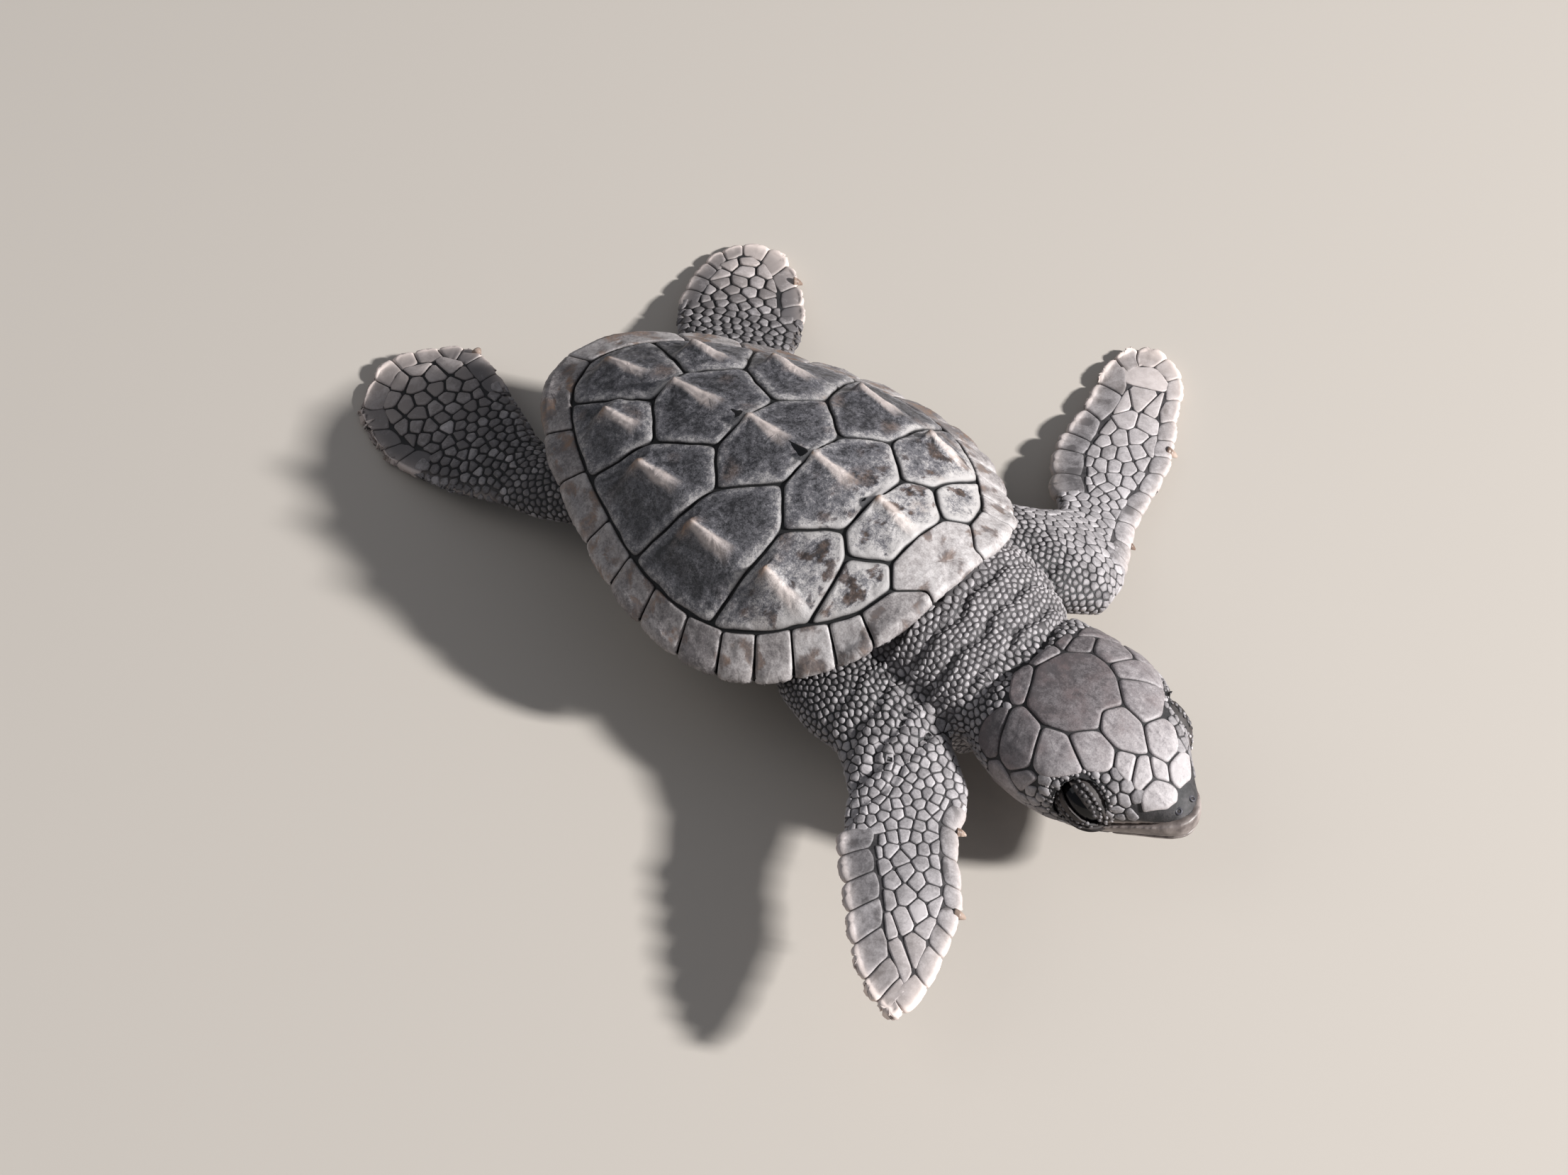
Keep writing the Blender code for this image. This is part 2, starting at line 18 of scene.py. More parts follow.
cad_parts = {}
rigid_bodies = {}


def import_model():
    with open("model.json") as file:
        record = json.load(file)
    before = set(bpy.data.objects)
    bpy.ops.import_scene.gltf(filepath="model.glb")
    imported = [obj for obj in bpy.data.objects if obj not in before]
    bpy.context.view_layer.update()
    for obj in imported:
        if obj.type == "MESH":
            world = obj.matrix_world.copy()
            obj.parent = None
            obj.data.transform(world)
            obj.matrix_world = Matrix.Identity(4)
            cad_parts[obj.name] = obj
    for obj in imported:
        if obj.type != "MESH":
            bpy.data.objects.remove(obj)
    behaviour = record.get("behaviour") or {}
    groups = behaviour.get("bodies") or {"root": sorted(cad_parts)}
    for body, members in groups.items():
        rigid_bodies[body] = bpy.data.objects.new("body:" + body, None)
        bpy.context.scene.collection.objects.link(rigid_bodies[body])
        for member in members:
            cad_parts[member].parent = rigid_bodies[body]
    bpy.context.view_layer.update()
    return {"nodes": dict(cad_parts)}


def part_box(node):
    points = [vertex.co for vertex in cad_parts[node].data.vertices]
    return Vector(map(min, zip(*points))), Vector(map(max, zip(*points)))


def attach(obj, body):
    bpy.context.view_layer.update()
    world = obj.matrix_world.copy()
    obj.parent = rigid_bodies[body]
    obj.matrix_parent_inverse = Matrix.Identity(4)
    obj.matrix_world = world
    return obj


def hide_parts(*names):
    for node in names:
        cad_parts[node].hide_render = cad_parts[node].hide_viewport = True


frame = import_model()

MM = 0.001
SHELL_REAR = -29.1         # rear tip of the carapace in turtle millimetres
shell_low, shell_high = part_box("carapace")
ORIGIN = Vector((shell_low.x - SHELL_REAR * MM, (shell_low.y + shell_high.y) / 2, 0.0))
TO_FRAME = Matrix.Translation(ORIGIN) @ Matrix.Scale(MM, 4)
TO_MM = TO_FRAME.inverted()
print("shell box", [round(c / MM, 2) for c in (*shell_low, *shell_high)], "origin", ORIGIN)

# %% [markdown]
# Every finished piece goes through the same door: its mesh is scaled from millimetres into the
# frame, it gets its finish and it rides on the one body. The object itself stays at the origin
# with its place in its mesh.

# %% Finish a piece
PIECES = []


def finish_piece(name, mesh, finish, replaced=()):
    """Scales a millimetre mesh into the frame and registers it as a piece of the turtle."""
    for vert in mesh.vertices:
        vert.co.z = max(vert.co.z, 0.0)      # what rests on the floor is worn flat
    mesh.transform(TO_FRAME)
    mesh.materials.clear()
    mesh.materials.append(finish)
    mesh.shade_smooth()
    piece = bpy.data.objects.new(name, mesh)
    bpy.context.scene.collection.objects.link(piece)
    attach(piece, "root")
    if replaced:
        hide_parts(*replaced)
    PIECES.append(piece)
    mesh.calc_loop_triangles()
    print(name, len(mesh.loop_triangles), "triangles")


def as_mesh(bm, name):
    """Turns a bmesh into a mesh and frees it."""
    mesh = bpy.data.meshes.new(name)
    bm.to_mesh(mesh)
    bm.free()
    return mesh


# %% [markdown]
# Colours are written as the sRGB values a colour picker shows. Blender mixes light in linear
# numbers, so one function converts them.

# %% Colours and shader nodes
def linear(code):
    """#rrggbb in sRGB to the linear colour that a shader wants."""
    shares = [int(code[i:i + 2], 16) / 255 for i in (1, 3, 5)]
    return (*[c / 12.92 if c <= 0.04045 else ((c + 0.055) / 1.055) ** 2.4 for c in shares], 1.0)


def add(tree, kind, inputs=None, **settings):
    """Adds one shader node with its settings. An input is a value or another node's output."""
    made = tree.nodes.new(kind)
    for name, value in settings.items():
        setattr(made, name, value)
    for socket, given in (inputs or {}).items():
        if isinstance(given, bpy.types.NodeSocket):
            tree.links.new(given, made.inputs[socket])
        else:
            made.inputs[socket].default_value = given
    return made


def grade(ramp, *stops):
    """Sets the stops of a colour ramp, each a position and a colour."""
    ramp.elements[0].position, ramp.elements[0].color = stops[0]
    ramp.elements[1].position, ramp.elements[1].color = stops[-1]
    for position, colour in stops[1:-1]:
        ramp.elements.new(position).color = colour


def new_finish(name):
    """A material with an empty tree but for its Principled shader and output."""
    made = bpy.data.materials.new(name)
    made.use_nodes = True
    return made, made.node_tree, made.node_tree.nodes["Principled BSDF"]


# %% [markdown]
# The turtle has a few finishes: matt keratin scales over dark hide, the harder grey scutes of
# the shell, the smooth horn of beak and claws, and the wet eye. They read numbers stored on the
# vertices: tone (how light this scale is, with some painted shade in it), rise (0 in its groove,
# 1 on its crown, which sets the painted shade toward the groove), cream (the pale margin of a
# flipper) and stain (rust-brown wear). Hide and scales carry the same numbers, so their markings
# agree.

# %% Keratin of scales and scutes
PER_MM = 1.0 / MM          # a noise scale of 1 has features about a metre across
MARKS = ("tone", "rise", "cream", "stain")
KERATIN_IOR = 1.54


def keratin(name, low, middle, high, groove, rough, grain_mm, bump, mottle_mm=1.4,
            blotch_mm=0.9, blotched=0.08, halo=0.5, speckle=0.45, rust="#7a5f4c"):
    """Dry horn: mottled grey with a fine grain, and painted shade that darkens it toward its
    grooves.
    """
    made, tree, shader = new_finish(name)
    place = add(tree, "ShaderNodeTexCoord").outputs["Object"]
    marks = {mark: add(tree, "ShaderNodeAttribute", attribute_name=mark).outputs["Fac"]
             for mark in MARKS}
    mottle = add(tree, "ShaderNodeTexNoise", {"Vector": place, "Scale": PER_MM / mottle_mm,
                                              "Detail": 6.0, "Roughness": 0.65}).outputs["Fac"]
    grain = add(tree, "ShaderNodeTexNoise", {"Vector": place, "Scale": PER_MM / grain_mm,
                                             "Detail": 4.0, "Roughness": 0.7}).outputs["Fac"]
    shade = add(tree, "ShaderNodeMath", {0: mottle, 1: 0.55, 2: 0.175 - speckle / 2},
                operation="MULTIPLY_ADD").outputs[0]
    shade = add(tree, "ShaderNodeMath", {0: grain, 1: speckle, 2: shade},
                operation="MULTIPLY_ADD").outputs[0]
    blotch = add(tree, "ShaderNodeTexNoise", {"Vector": place, "Scale": PER_MM / blotch_mm,
                                              "Detail": 8.0, "Roughness": 0.72,
                                              "Distortion": 0.6}).outputs["Fac"]
    blotch = add(tree, "ShaderNodeMapRange",
                 {0: blotch, 1: 0.42, 2: 0.58, 3: -blotched, 4: blotched}).outputs[0]
    for more in (blotch, marks["tone"]):
        shade = add(tree, "ShaderNodeMath", {0: shade, 1: more}, operation="ADD").outputs[0]
    greys = add(tree, "ShaderNodeValToRGB", {0: shade})
    grade(greys.color_ramp, (0.22, linear(low)), (0.5, linear(middle)), (0.8, linear(high)))
    worn = add(tree, "ShaderNodeMapRange", {0: mottle, 1: 0.35, 2: 0.62}).outputs[0]
    worn = add(tree, "ShaderNodeMath", {0: worn, 1: marks["stain"]},
               operation="MULTIPLY").outputs[0]
    # Painted shade: the rise ramp darkens each scale from its crown down to the groove colour at
    # its foot, up to the share halo of its rise.
    deep = add(tree, "ShaderNodeValToRGB", {0: marks["rise"]})
    grade(deep.color_ramp, (0.0, linear("#000000")), (halo, linear("#ffffff")))
    base = add(tree, "ShaderNodeMix", {0: worn, 6: greys.outputs["Color"], 7: linear(rust)},
               data_type="RGBA").outputs[2]
    base = add(tree, "ShaderNodeMix", {0: marks["cream"], 6: base, 7: linear("#e2d2ca")},
               data_type="RGBA").outputs[2]
    shadow = add(tree, "ShaderNodeMix", {0: marks["cream"], 6: linear(groove),
                                         7: linear("#a2948d")}, data_type="RGBA").outputs[2]
    base = add(tree, "ShaderNodeMix", {0: deep.outputs["Color"], 6: shadow, 7: base},
               data_type="RGBA").outputs[2]
    bumped = add(tree, "ShaderNodeBump", {"Height": grain, "Strength": bump,
                                          "Distance": 0.05 * MM})
    dull = add(tree, "ShaderNodeMapRange",
               {0: grain, 1: 0.3, 2: 0.7, 3: rough - 0.08, 4: rough + 0.08}).outputs[0]
    tree.links.new(base, shader.inputs["Base Color"])
    tree.links.new(bumped.outputs["Normal"], shader.inputs["Normal"])
    tree.links.new(dull, shader.inputs["Roughness"])
    shader.inputs["IOR"].default_value = KERATIN_IOR
    return made


# Dry scale keratin, shed and regrown: matt, so it scatters light and keeps soft highlights.
scale_keratin = keratin("dry_scale_keratin", "#5a5657", "#8f8a8b", "#bcb6b7", "#1d1b1c",
                        rough=0.66, grain_mm=0.16, bump=0.3)
# Hide between the scales: softer and darker, folded fine, so it swallows most of the light.
groove_hide = keratin("dark_fold_hide", "#151415", "#242223", "#4a4647", "#0e0d0e",
                      rough=0.7, grain_mm=0.12, bump=0.4)
# Scute keratin: thicker and darker plates with pale crests and rusty stains; its painted shade
# reaches in from each seam across the plate's edge steps.
scute_keratin = keratin("scute_keratin", "#28272a", "#68666a", "#b8b3b1", "#19181b",
                        rough=0.52, grain_mm=0.13, bump=0.7, mottle_mm=0.7, blotch_mm=0.35,
                        blotched=0.06, halo=1.0, speckle=0.8)
# The marginal scutes are newer horn, pinkish grey and paler.
rim_keratin = keratin("marginal_keratin", "#5f5a5b", "#9a9493", "#c3bebd", "#282424",
                      rough=0.58, grain_mm=0.16, bump=0.5, mottle_mm=0.8, blotch_mm=0.4,
                      blotched=0.05, halo=0.8, speckle=0.65)
# Head shields are the same grey horn with a mauve-brown cast.
shield_keratin = keratin("head_shield_keratin", "#554f50", "#867f80", "#b3acac", "#211e1f",
                         rough=0.56, grain_mm=0.14, bump=0.45, mottle_mm=0.8, blotch_mm=0.35,
                         blotched=0.05, halo=0.35, speckle=0.55, rust="#6b5b5a")
# The belly plates have not darkened: yellowish horn with grey clouds.
belly_keratin = keratin("belly_keratin", "#5e574f", "#94897a", "#bfb39f", "#26221f",
                        rough=0.5, grain_mm=0.22, bump=0.3, mottle_mm=2.4, blotch_mm=1.2,
                        blotched=0.12)

# %% [markdown]
# Horn of the beak and claws grows in thin layers, so it is smoother than a scale and shines a
# little. The eye is wet: near-black, with the thin clear film that gives it one sharp light.

# %% Beak, claw and eye
CLOUD_MM, LAYER_MM = 1.2, 0.14                  # breadth of its clouds and of its fine layers


def horn(name, dark, pale, rough):
    """Smooth layered horn, cloudy from dark to pale."""
    made, tree, shader = new_finish(name)
    place = add(tree, "ShaderNodeTexCoord").outputs["Object"]
    cloud = add(tree, "ShaderNodeTexNoise", {"Vector": place, "Scale": PER_MM / CLOUD_MM,
                                             "Detail": 5.0})
    fine = add(tree, "ShaderNodeTexNoise", {"Vector": place, "Scale": PER_MM / LAYER_MM,
                                            "Detail": 3.0})
    colours = add(tree, "ShaderNodeValToRGB", {0: cloud.outputs["Fac"]})
    grade(colours.color_ramp, (0.35, linear(dark)), (0.68, linear(pale)))
    bumped = add(tree, "ShaderNodeBump", {"Height": fine.outputs["Fac"], "Strength": 0.25,
                                          "Distance": 0.04 * MM})
    tree.links.new(colours.outputs["Color"], shader.inputs["Base Color"])
    tree.links.new(bumped.outputs["Normal"], shader.inputs["Normal"])
    shader.inputs["Roughness"].default_value = rough
    shader.inputs["IOR"].default_value = KERATIN_IOR
    return made


beak_horn = horn("beak_horn", "#5d5350", "#9a8f8a", 0.46)
claw_horn = horn("claw_horn", "#6f5a4e", "#b39f92", 0.42)

eye_wet, _, shader = new_finish("wet_eye")
shader.inputs["Base Color"].default_value = linear("#0b0a0c")
shader.inputs["Roughness"].default_value = 0.1
shader.inputs["IOR"].default_value = 1.376       # the film over a cornea
print(len(bpy.data.materials), "finishes")

# %% [markdown]
# The skin is one closed hide over the neck, head, limbs, tail and trunk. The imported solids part
# at every joint, so their welded copies are swollen a little until they meet, and a voxel remesh
# fuses them into one surface without a seam. It is then drawn in by the depth of the scales that
# will cover it, so the scales' crowns end where the solids' faces are.

# %% Fuse the flesh solids into one hide
FLESH = ["trunk", "neck", "head", "lower_jaw", "tail", "arm_front_right", "arm_front_left",
         "flipper_front_right", "flipper_front_left", "leg_rear_right", "leg_rear_left",
         "flipper_rear_right", "flipper_rear_left"]
SWELL = 0.12               # mm outwards, so that pieces 0.12 mm apart overlap
VOXEL = 0.3
HIDE_ROUNDS = 6            # of smoothing after the remesh
COAT = 0.16                # mm from the hide out to the crown of a scale


def solid_copy(name, grow=0.0):
    """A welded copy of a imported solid, in millimetres, pushed out by grow."""
    bm = bmesh.new()
    bm.from_mesh(frame["nodes"][name].data)
    bmesh.ops.transform(bm, matrix=TO_MM, verts=bm.verts[:])
    bmesh.ops.remove_doubles(bm, verts=bm.verts[:], dist=0.002)
    bm.normal_update()
    for vert in bm.verts:
        vert.co += vert.normal * grow
    return bm


def remeshed(bm, voxel, rounds, name):
    """Fuses a bmesh of closed bodies into one even surface and smooths it."""
    holder = bpy.data.objects.new(name, as_mesh(bm, name))
    bpy.context.scene.collection.objects.link(holder)
    fuse = holder.modifiers.new("fuse", "REMESH")
    fuse.mode = "VOXEL"
    fuse.voxel_size = voxel
    soften = holder.modifiers.new("soften", "SMOOTH")
    soften.factor = 0.5
    soften.iterations = rounds
    seen = holder.evaluated_get(bpy.context.evaluated_depsgraph_get())
    mesh = bpy.data.meshes.new_from_object(seen)
    bpy.data.objects.remove(holder)
    return mesh


def gather(bm, name, grow=0.0):
    """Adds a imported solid's copy to a bmesh and tells how many faces it brought."""
    part = as_mesh(solid_copy(name, grow), "part")
    bm.from_mesh(part)
    brought = len(part.polygons)
    bpy.data.meshes.remove(part)
    return brought


flesh = bmesh.new()
owners = []
for number, name in enumerate(FLESH):
    owners += [number] * gather(flesh, name, SWELL)
flesh.faces.ensure_lookup_table()
flesh_tree = BVHTree.FromBMesh(flesh)
hide = remeshed(flesh, VOXEL, HIDE_ROUNDS, "hide")
print("hide", len(hide.vertices), "vertices")

# %% [markdown]
# Folds and creases are moves of the hide's own vertices, as a sculptor would press them: the
# neck's rings of skin, the groove behind the head and the line of the mouth.

# %% Sculpt the hide
FOLD = 0.26                # mm: how far the neck's folds stand out and sink in
HEAD_GROOVE = 0.4
MOUTH_GROOVE = 0.22


def rows(items, name):
    """One vector of every item of a collection, as rows of an array."""
    flat = np.zeros(len(items) * 3)
    items.foreach_get(name, flat)
    return flat.reshape(-1, 3)


def bump_at(value, middle, width):
    """A smooth hump of height 1 round a middle."""
    return np.exp(-(((value - middle) / width) ** 2))


def mouth_height(x):
    """Height of the line where the jaws meet."""
    return 6.8 + (x - 33.4) * 0.18


spots, ways = rows(hide.vertices, "co"), rows(hide.vertex_normals, "vector")
x, y, z = spots.T
push = np.full(len(spots), -SWELL - COAT)
on_neck = np.clip((x - 13.5) / 2.5, 0, 1) * np.clip((24.6 - x) / 1.5, 0, 1)
on_neck *= np.clip((z - 7.0) / 4.0, 0, 1)


def folds(x, y):
    """The wave of the skin's folds across the neck, from -1 to 1."""
    bend = 0.5 * np.sin(y * 0.5) + 0.35 * np.sin(y * 1.3 + 1.0)
    return 0.6 * np.sin((x + bend) * 2 * math.pi / 2.6) + 0.4 * np.sin(
        (x + 0.7 * bend) * 2 * math.pi / 1.3 + 0.8)


push += on_neck * FOLD * folds(x, y)
behind_head = bump_at(x + 0.25 * np.abs(y + 0.5) - 25.2, 0.0, 0.4)
push -= HEAD_GROOVE * behind_head * np.clip((z - 6) / 3, 0, 1)
push -= MOUTH_GROOVE * bump_at(z, mouth_height(x), 0.22) * np.clip((x - 33.0) / 1.0, 0, 1)
spots += ways * push[:, None]
hide.vertices.foreach_set("co", spots.ravel())
hide.update()
print("pushed between", push.min().round(3), push.max().round(3), "mm")

# %% [markdown]
# Scales are laid out the way they grow: a seed for each, spread so that neighbours stay a
# scale's width apart, then left to settle in the middle of its own patch. Spacing comes from the
# part of the body: fine beads on the neck, legs and face, larger plates out on the flippers.
# Each even quad of the hide is a place where a seed could stand.

# %% Where scales can stand
SHELL_REACH = 1.6          # mm: hide with shell this close over it grows no scales
count = len(hide.polygons)
sites, site_ways = rows(hide.polygons, "center"), rows(hide.polygons, "normal")
hide_tree = BVHTree.FromPolygons([Vector(s) for s in spots],
                                 [tuple(p.vertices) for p in hide.polygons])
parts = np.array([owners[flesh_tree.find_nearest(Vector(s))[2]] for s in sites])
PART = {name: number for number, name in enumerate(FLESH)}

shell = bmesh.new()
for name in ("carapace", "plastron"):
    gather(shell, name)
shell_tree = BVHTree.FromBMesh(shell)
shell.free()
covered = np.array([shell_tree.ray_cast(Vector(s), Vector(n), SHELL_REACH)[0] is not None
                    for s, n in zip(sites, site_ways)])
covered &= (parts == PART["trunk"]) | (parts == PART["neck"])
print(count, "sites,", int(covered.sum()), "of them under the shell")

# %% [markdown]
# A flipper's plates follow its shape, so it is measured by the same stations as its solid: a
# point on the leading edge and one on the trailing edge, from wrist to tip. From those come how
# far out a site is, and how near it lies to either edge.

# %% Flipper stations
FLIPPERS = {
    "flipper_front_right": [
        (29.4, -13.3, 22.8, -21.7), (30.1, -15.3, 24.4, -23.7), (31.8, -17.4, 26.2, -25.2),
        (33.8, -19.2, 28.2, -27.1), (35.4, -21.0, 30.0, -28.8), (36.6, -23.4, 32.2, -30.6),
        (37.6, -26.0, 34.6, -32.0), (38.5, -28.6, 36.8, -32.7), (38.8, -31.0, 38.2, -32.7)],
    "flipper_front_left": [
        (20.4, 18.5, 9.4, 21.9), (18.9, 20.9, 8.1, 23.1), (17.0, 24.0, 6.3, 25.4),
        (15.7, 27.3, 4.7, 27.7), (14.8, 30.4, 3.8, 30.1), (13.6, 33.7, 3.2, 32.8),
        (11.9, 36.5, 2.3, 35.6), (10.1, 39.0, 1.1, 38.4), (8.8, 41.5, 0.5, 41.1),
        (7.0, 43.6, 0.9, 43.1), (4.8, 44.6, 2.4, 44.3)],
    "flipper_rear_right": [
        (-28.0, -4.8, -26.0, -12.4), (-31.6, -3.2, -30.6, -13.4), (-35.1, -1.6, -35.2, -13.5),
        (-38.4, 0.0, -39.6, -13.5), (-41.6, 1.1, -43.2, -12.3), (-44.1, 0.6, -46.2, -10.9),
        (-46.4, -1.5, -47.8, -8.1), (-48.0, -3.4, -48.6, -5.9)],
    "flipper_rear_left": [
        (-27.4, 12.6, -18.8, 18.4), (-30.9, 15.5, -20.5, 21.7), (-33.6, 18.8, -22.8, 24.8),
        (-35.4, 22.4, -25.2, 27.3), (-36.2, 26.0, -27.9, 29.4), (-35.5, 28.4, -30.5, 30.6),
        (-34.3, 29.8, -32.5, 30.6)],
}


def flipper_measures(name):
    """Each site's share of the way out along a flipper, and the flipper's axis."""
    stations = np.array(FLIPPERS[name])
    middle = (stations[:, :2] + stations[:, 2:]) / 2
    axis = middle[-1] - middle[0]
    out = ((sites[:, :2] - middle[0]) @ axis) / (axis @ axis)
    return np.clip(out, 0, 1), np.array([*(axis / np.linalg.norm(axis)), 0.0])


# %% [markdown]
# Now the fields: spacing, how much longer than wide a scale is, which way it points, how high
# its crown stands, and the marks that colour it.

# %% Fields over the hide
spacing = np.full(count, 0.78)
stretch = np.full(count, 1.0)
heading = np.tile(np.array([1.0, 0.0, 0.0]), (count, 1))
height = np.full(count, 0.16)
cream = np.zeros(count)
tone_and_painted_shade = np.zeros(count)
out_share = np.zeros(count)

for name in FLIPPERS:
    mine = parts == PART[name]
    out, axis = flipper_measures(name)
    front = "front" in name
    spacing[mine] = (0.76 + (1.1 if front else 0.85) * np.clip(out * 1.15, 0, 1) ** 1.5)[mine]
    stretch[mine] = (1.15 + (0.85 if front else 0.2) * out)[mine]
    heading[mine] = axis
    height[mine] = 0.11 if front else 0.19
    # The rear flippers are coloured darker than the front ones, partly their own colour and partly
    # painted shade of the body's shadow.
    tone_and_painted_shade[mine] = 0.12 if front else -0.2
    out_share[mine] = out[mine]

for name, (start, end) in {"arm_front_right": ((14, -9), (26, -16)),
                           "arm_front_left": ((14, 10), (15, 19)),
                           "leg_rear_right": ((-18, -8), (-27, -9)),
                           "leg_rear_left": ((-18, 9), (-23, 15))}.items():
    mine = parts == PART[name]
    axis = np.array([end[0] - start[0], end[1] - start[1]], float)
    out = np.clip(((sites[:, :2] - start) @ axis) / (axis @ axis), 0, 1)
    front = "front" in name
    spacing[mine] = (0.44 + (0.48 if front else 0.16) * np.clip(out * 1.15, 0, 1) ** 1.2)[mine]
    # Painted shade: each limb is coloured darker where it goes in under the shell and lighter out
    # along it.
    tone_and_painted_shade[mine] = (-0.1 + 0.18 * out)[mine]
    stretch[mine] = (1.1 + 0.3 * out)[mine]
    height[mine] = (0.16 - 0.05 * out)[mine]
    heading[mine] = np.array([*(axis / np.linalg.norm(axis)), 0.0])

neck = parts == PART["neck"]
spacing[neck] = 0.47
height[neck] = 0.11
stretch[neck] = 1.22
heading[neck] = (0.0, 1.0, 0.0)
spacing[neck & (sites[:, 0] > 24.6)] = 0.62
spacing[parts == PART["trunk"]] = 0.6
# The rear legs and the tail are coloured darker too, partly their own colour and partly painted
# shade under the back of the shell.
for name in ("leg_rear_right", "leg_rear_left", "tail"):
    tone_and_painted_shade[parts == PART[name]] = -0.22
# Painted shade: the neck's beads are coloured darker in the valleys of its folds and paler on their
# ridges.
tone_and_painted_shade[neck] = 0.02 + 0.12 * folds(sites[neck, 0], sites[neck, 1])
head = (parts == PART["head"]) | (parts == PART["lower_jaw"])
eyes = np.array([[36.0, 3.95, 10.5], [36.0, -7.05, 10.5]])
to_eye = np.minimum(*[np.linalg.norm(sites - eye, axis=1) for eye in eyes])
spacing[head] = np.clip(0.5 + (to_eye[head] - 2.6) * 0.3, 0.5, 1.3)
spacing[head & (sites[:, 0] < 27.5)] = 0.6
snout = head & (sites[:, 0] > 38.4)
height[head] = 0.15
stretch[head] = 1.15
print("spacing", spacing.min(), spacing.max())

# %% [markdown]
# The head's large shields are drawn corner by corner: how far forward a corner is, and
# how many degrees round the head from the crown (plus is the turtle's left). Neighbours share
# their corners, most of them lettered, so their grooves meet. Fine scales grow only where no
# shield lies.

# %% Head shields
rng = np.random.default_rng(7)
HEAD_AXIS_Z = 9.2
HEAD_MIDDLE = ((23.0, 0.0), (25.6, -0.6), (28.2, -1.0), (31.0, -1.2), (36.0, -1.5), (40.0, -2.0),
               (44.0, -2.4))
A, B, C, D, E = (26.1, -9), (26.8, 24), (28.6, 39), (30.4, 38), (31.95, 33)
G, H, I, J, K, L = (34.15, 17), (33.3, -2), (34.3, -19), (32.6, -37), (30.5, -43), (28.0, -40)
M, N, O = (36.4, 18), (38.5, 0), (36.4, -23)
Q, R, S, T, U, V = (27.4, 56), (31.3, 58), (35.1, 59), (36.9, 40), (39.7, 39), (40.0, 12)
W, X, Y = (37.9, -11), (39.2, -41), (37.3, -38)
SHIELDS = {
    "frontoparietal": [A, B, C, D, E, G, H, I, J, K, L],
    "frontal": [G, M, N, W, O, I, H],
    "parietal_left": [B, (26.2, 44), Q, C],
    "temporal_left_1": [C, Q, (29.2, 66), R, D],
    "supraocular_left_rear": [D, R, (32.7, 69), S, E],
    "supraocular_left": [E, S, T, M, G],
    "prefrontal_left": [M, T, (38.1, 46), U, V, N],
    "internasal": [N, V, (41.2, -3), (40.1, -17)],
    "prefrontal_left_front": [U, (40.2, 56), (41.9, 37), (42.0, 3), (41.2, -3), V],
    "prefrontal_right": [O, W, X, Y],
    "prefrontal_right_front": [W, N, (40.1, -17), (40.0, -41), X],
    "nasal": [(40.1, -17), (41.2, -3), (42.0, 0), (42.5, -14), (42.3, -38), (40.9, -60),
              (40.0, -41)],
    "supraocular_right": [J, I, O, Y, (37.0, -45), (35.8, -52)],
    "supraocular_right_rear": [K, J, (35.8, -52), (35.1, -58), (34.1, -64), (33.0, -68),
                               (31.9, -66)],
    "temporal_right_1": [L, K, (31.9, -66), (30.1, -77), (28.8, -74), (28.2, -66), (27.2, -47)],
    "temporal_right_2": [(26.2, -52), (27.2, -47), (28.2, -66), (28.8, -74), (27.6, -82),
                         (26.0, -79), (25.7, -66)],
    "temporal_right_3": [(30.1, -77), (31.9, -66), (33.0, -68), (31.7, -86)],
    "temporal_right_4": [(27.6, -82), (28.8, -74), (30.1, -77), (31.7, -86), (30.8, -101),
                         (28.0, -101)],
    "temporal_left_2": [(26.2, 44), (25.7, 60), (26.6, 80), (28.2, 80), (29.2, 66), Q],
    "temporal_left_3": [(29.2, 66), (28.2, 80), (29.3, 92), (31.4, 88), (32.7, 69), R],
    "nuchal_right": [A, (25.1, -10), (25.0, -30), (26.2, -44), (27.2, -47), L],
    "nuchal_middle": [A, B, (25.5, 24), (25.0, 6), (25.1, -10)],
    "nuchal_left": [B, (26.2, 44), (25.4, 42), (25.5, 24)],
}
DEGREE_MM = 0.105          # a degree round the head is about this far along its skin


def seen_from(core, way, start, reach, spare):
    """The hide seen from outside toward a core, from so far off, and its softened normal."""
    near, normal, _, _ = hide_tree.ray_cast(core + way * start, -way, reach)
    if near is None:
        near, normal, _, _ = hide_tree.find_nearest(core + way * spare)
    return near, (normal + way).normalized()


def head_spot(x, turn_mm):
    """A point and normal on the hide, x forward and so far round the head from the crown."""
    turn = math.radians(turn_mm / DEGREE_MM)
    stations = list(zip(*HEAD_MIDDLE))
    middle = Vector((x, float(np.interp(x, *stations)), HEAD_AXIS_Z))
    return seen_from(middle, Vector((0.0, math.sin(turn), math.cos(turn))), 8.8, 8.8, 2.5)


def inside(corners, x, y):
    """Which points lie in a polygon, by counting the edges to their right."""
    hits = np.zeros(len(x), bool)
    for (ax, ay), (bx, by) in zip(corners, corners[1:] + corners[:1]):
        crosses = (ay > y) != (by > y)
        hits ^= crosses & (x < (bx - ax) * (y - ay) / (by - ay + 1e-12) + ax)
    return hits


middle_y = np.interp(sites[:, 0], *list(zip(*HEAD_MIDDLE)))
turns = np.degrees(np.arctan2(sites[:, 1] - middle_y, sites[:, 2] - HEAD_AXIS_Z))
shielded = np.zeros(count, bool)
for corners in SHIELDS.values():
    shielded |= inside(corners, sites[:, 0], turns) & head
print("shielded sites", int(shielded.sum()))

# %% [markdown]
# The plates along a flipper's margins are the largest. They stand in a row round the edge and
# each is bent over it, so a margin is measured by how far round it a point lies, from the wrist
# along the trailing edge to the tip and back along the leading edge, and how far across it,
# plus on the upper side and minus below. The fine scales stop where the row of plates begins.

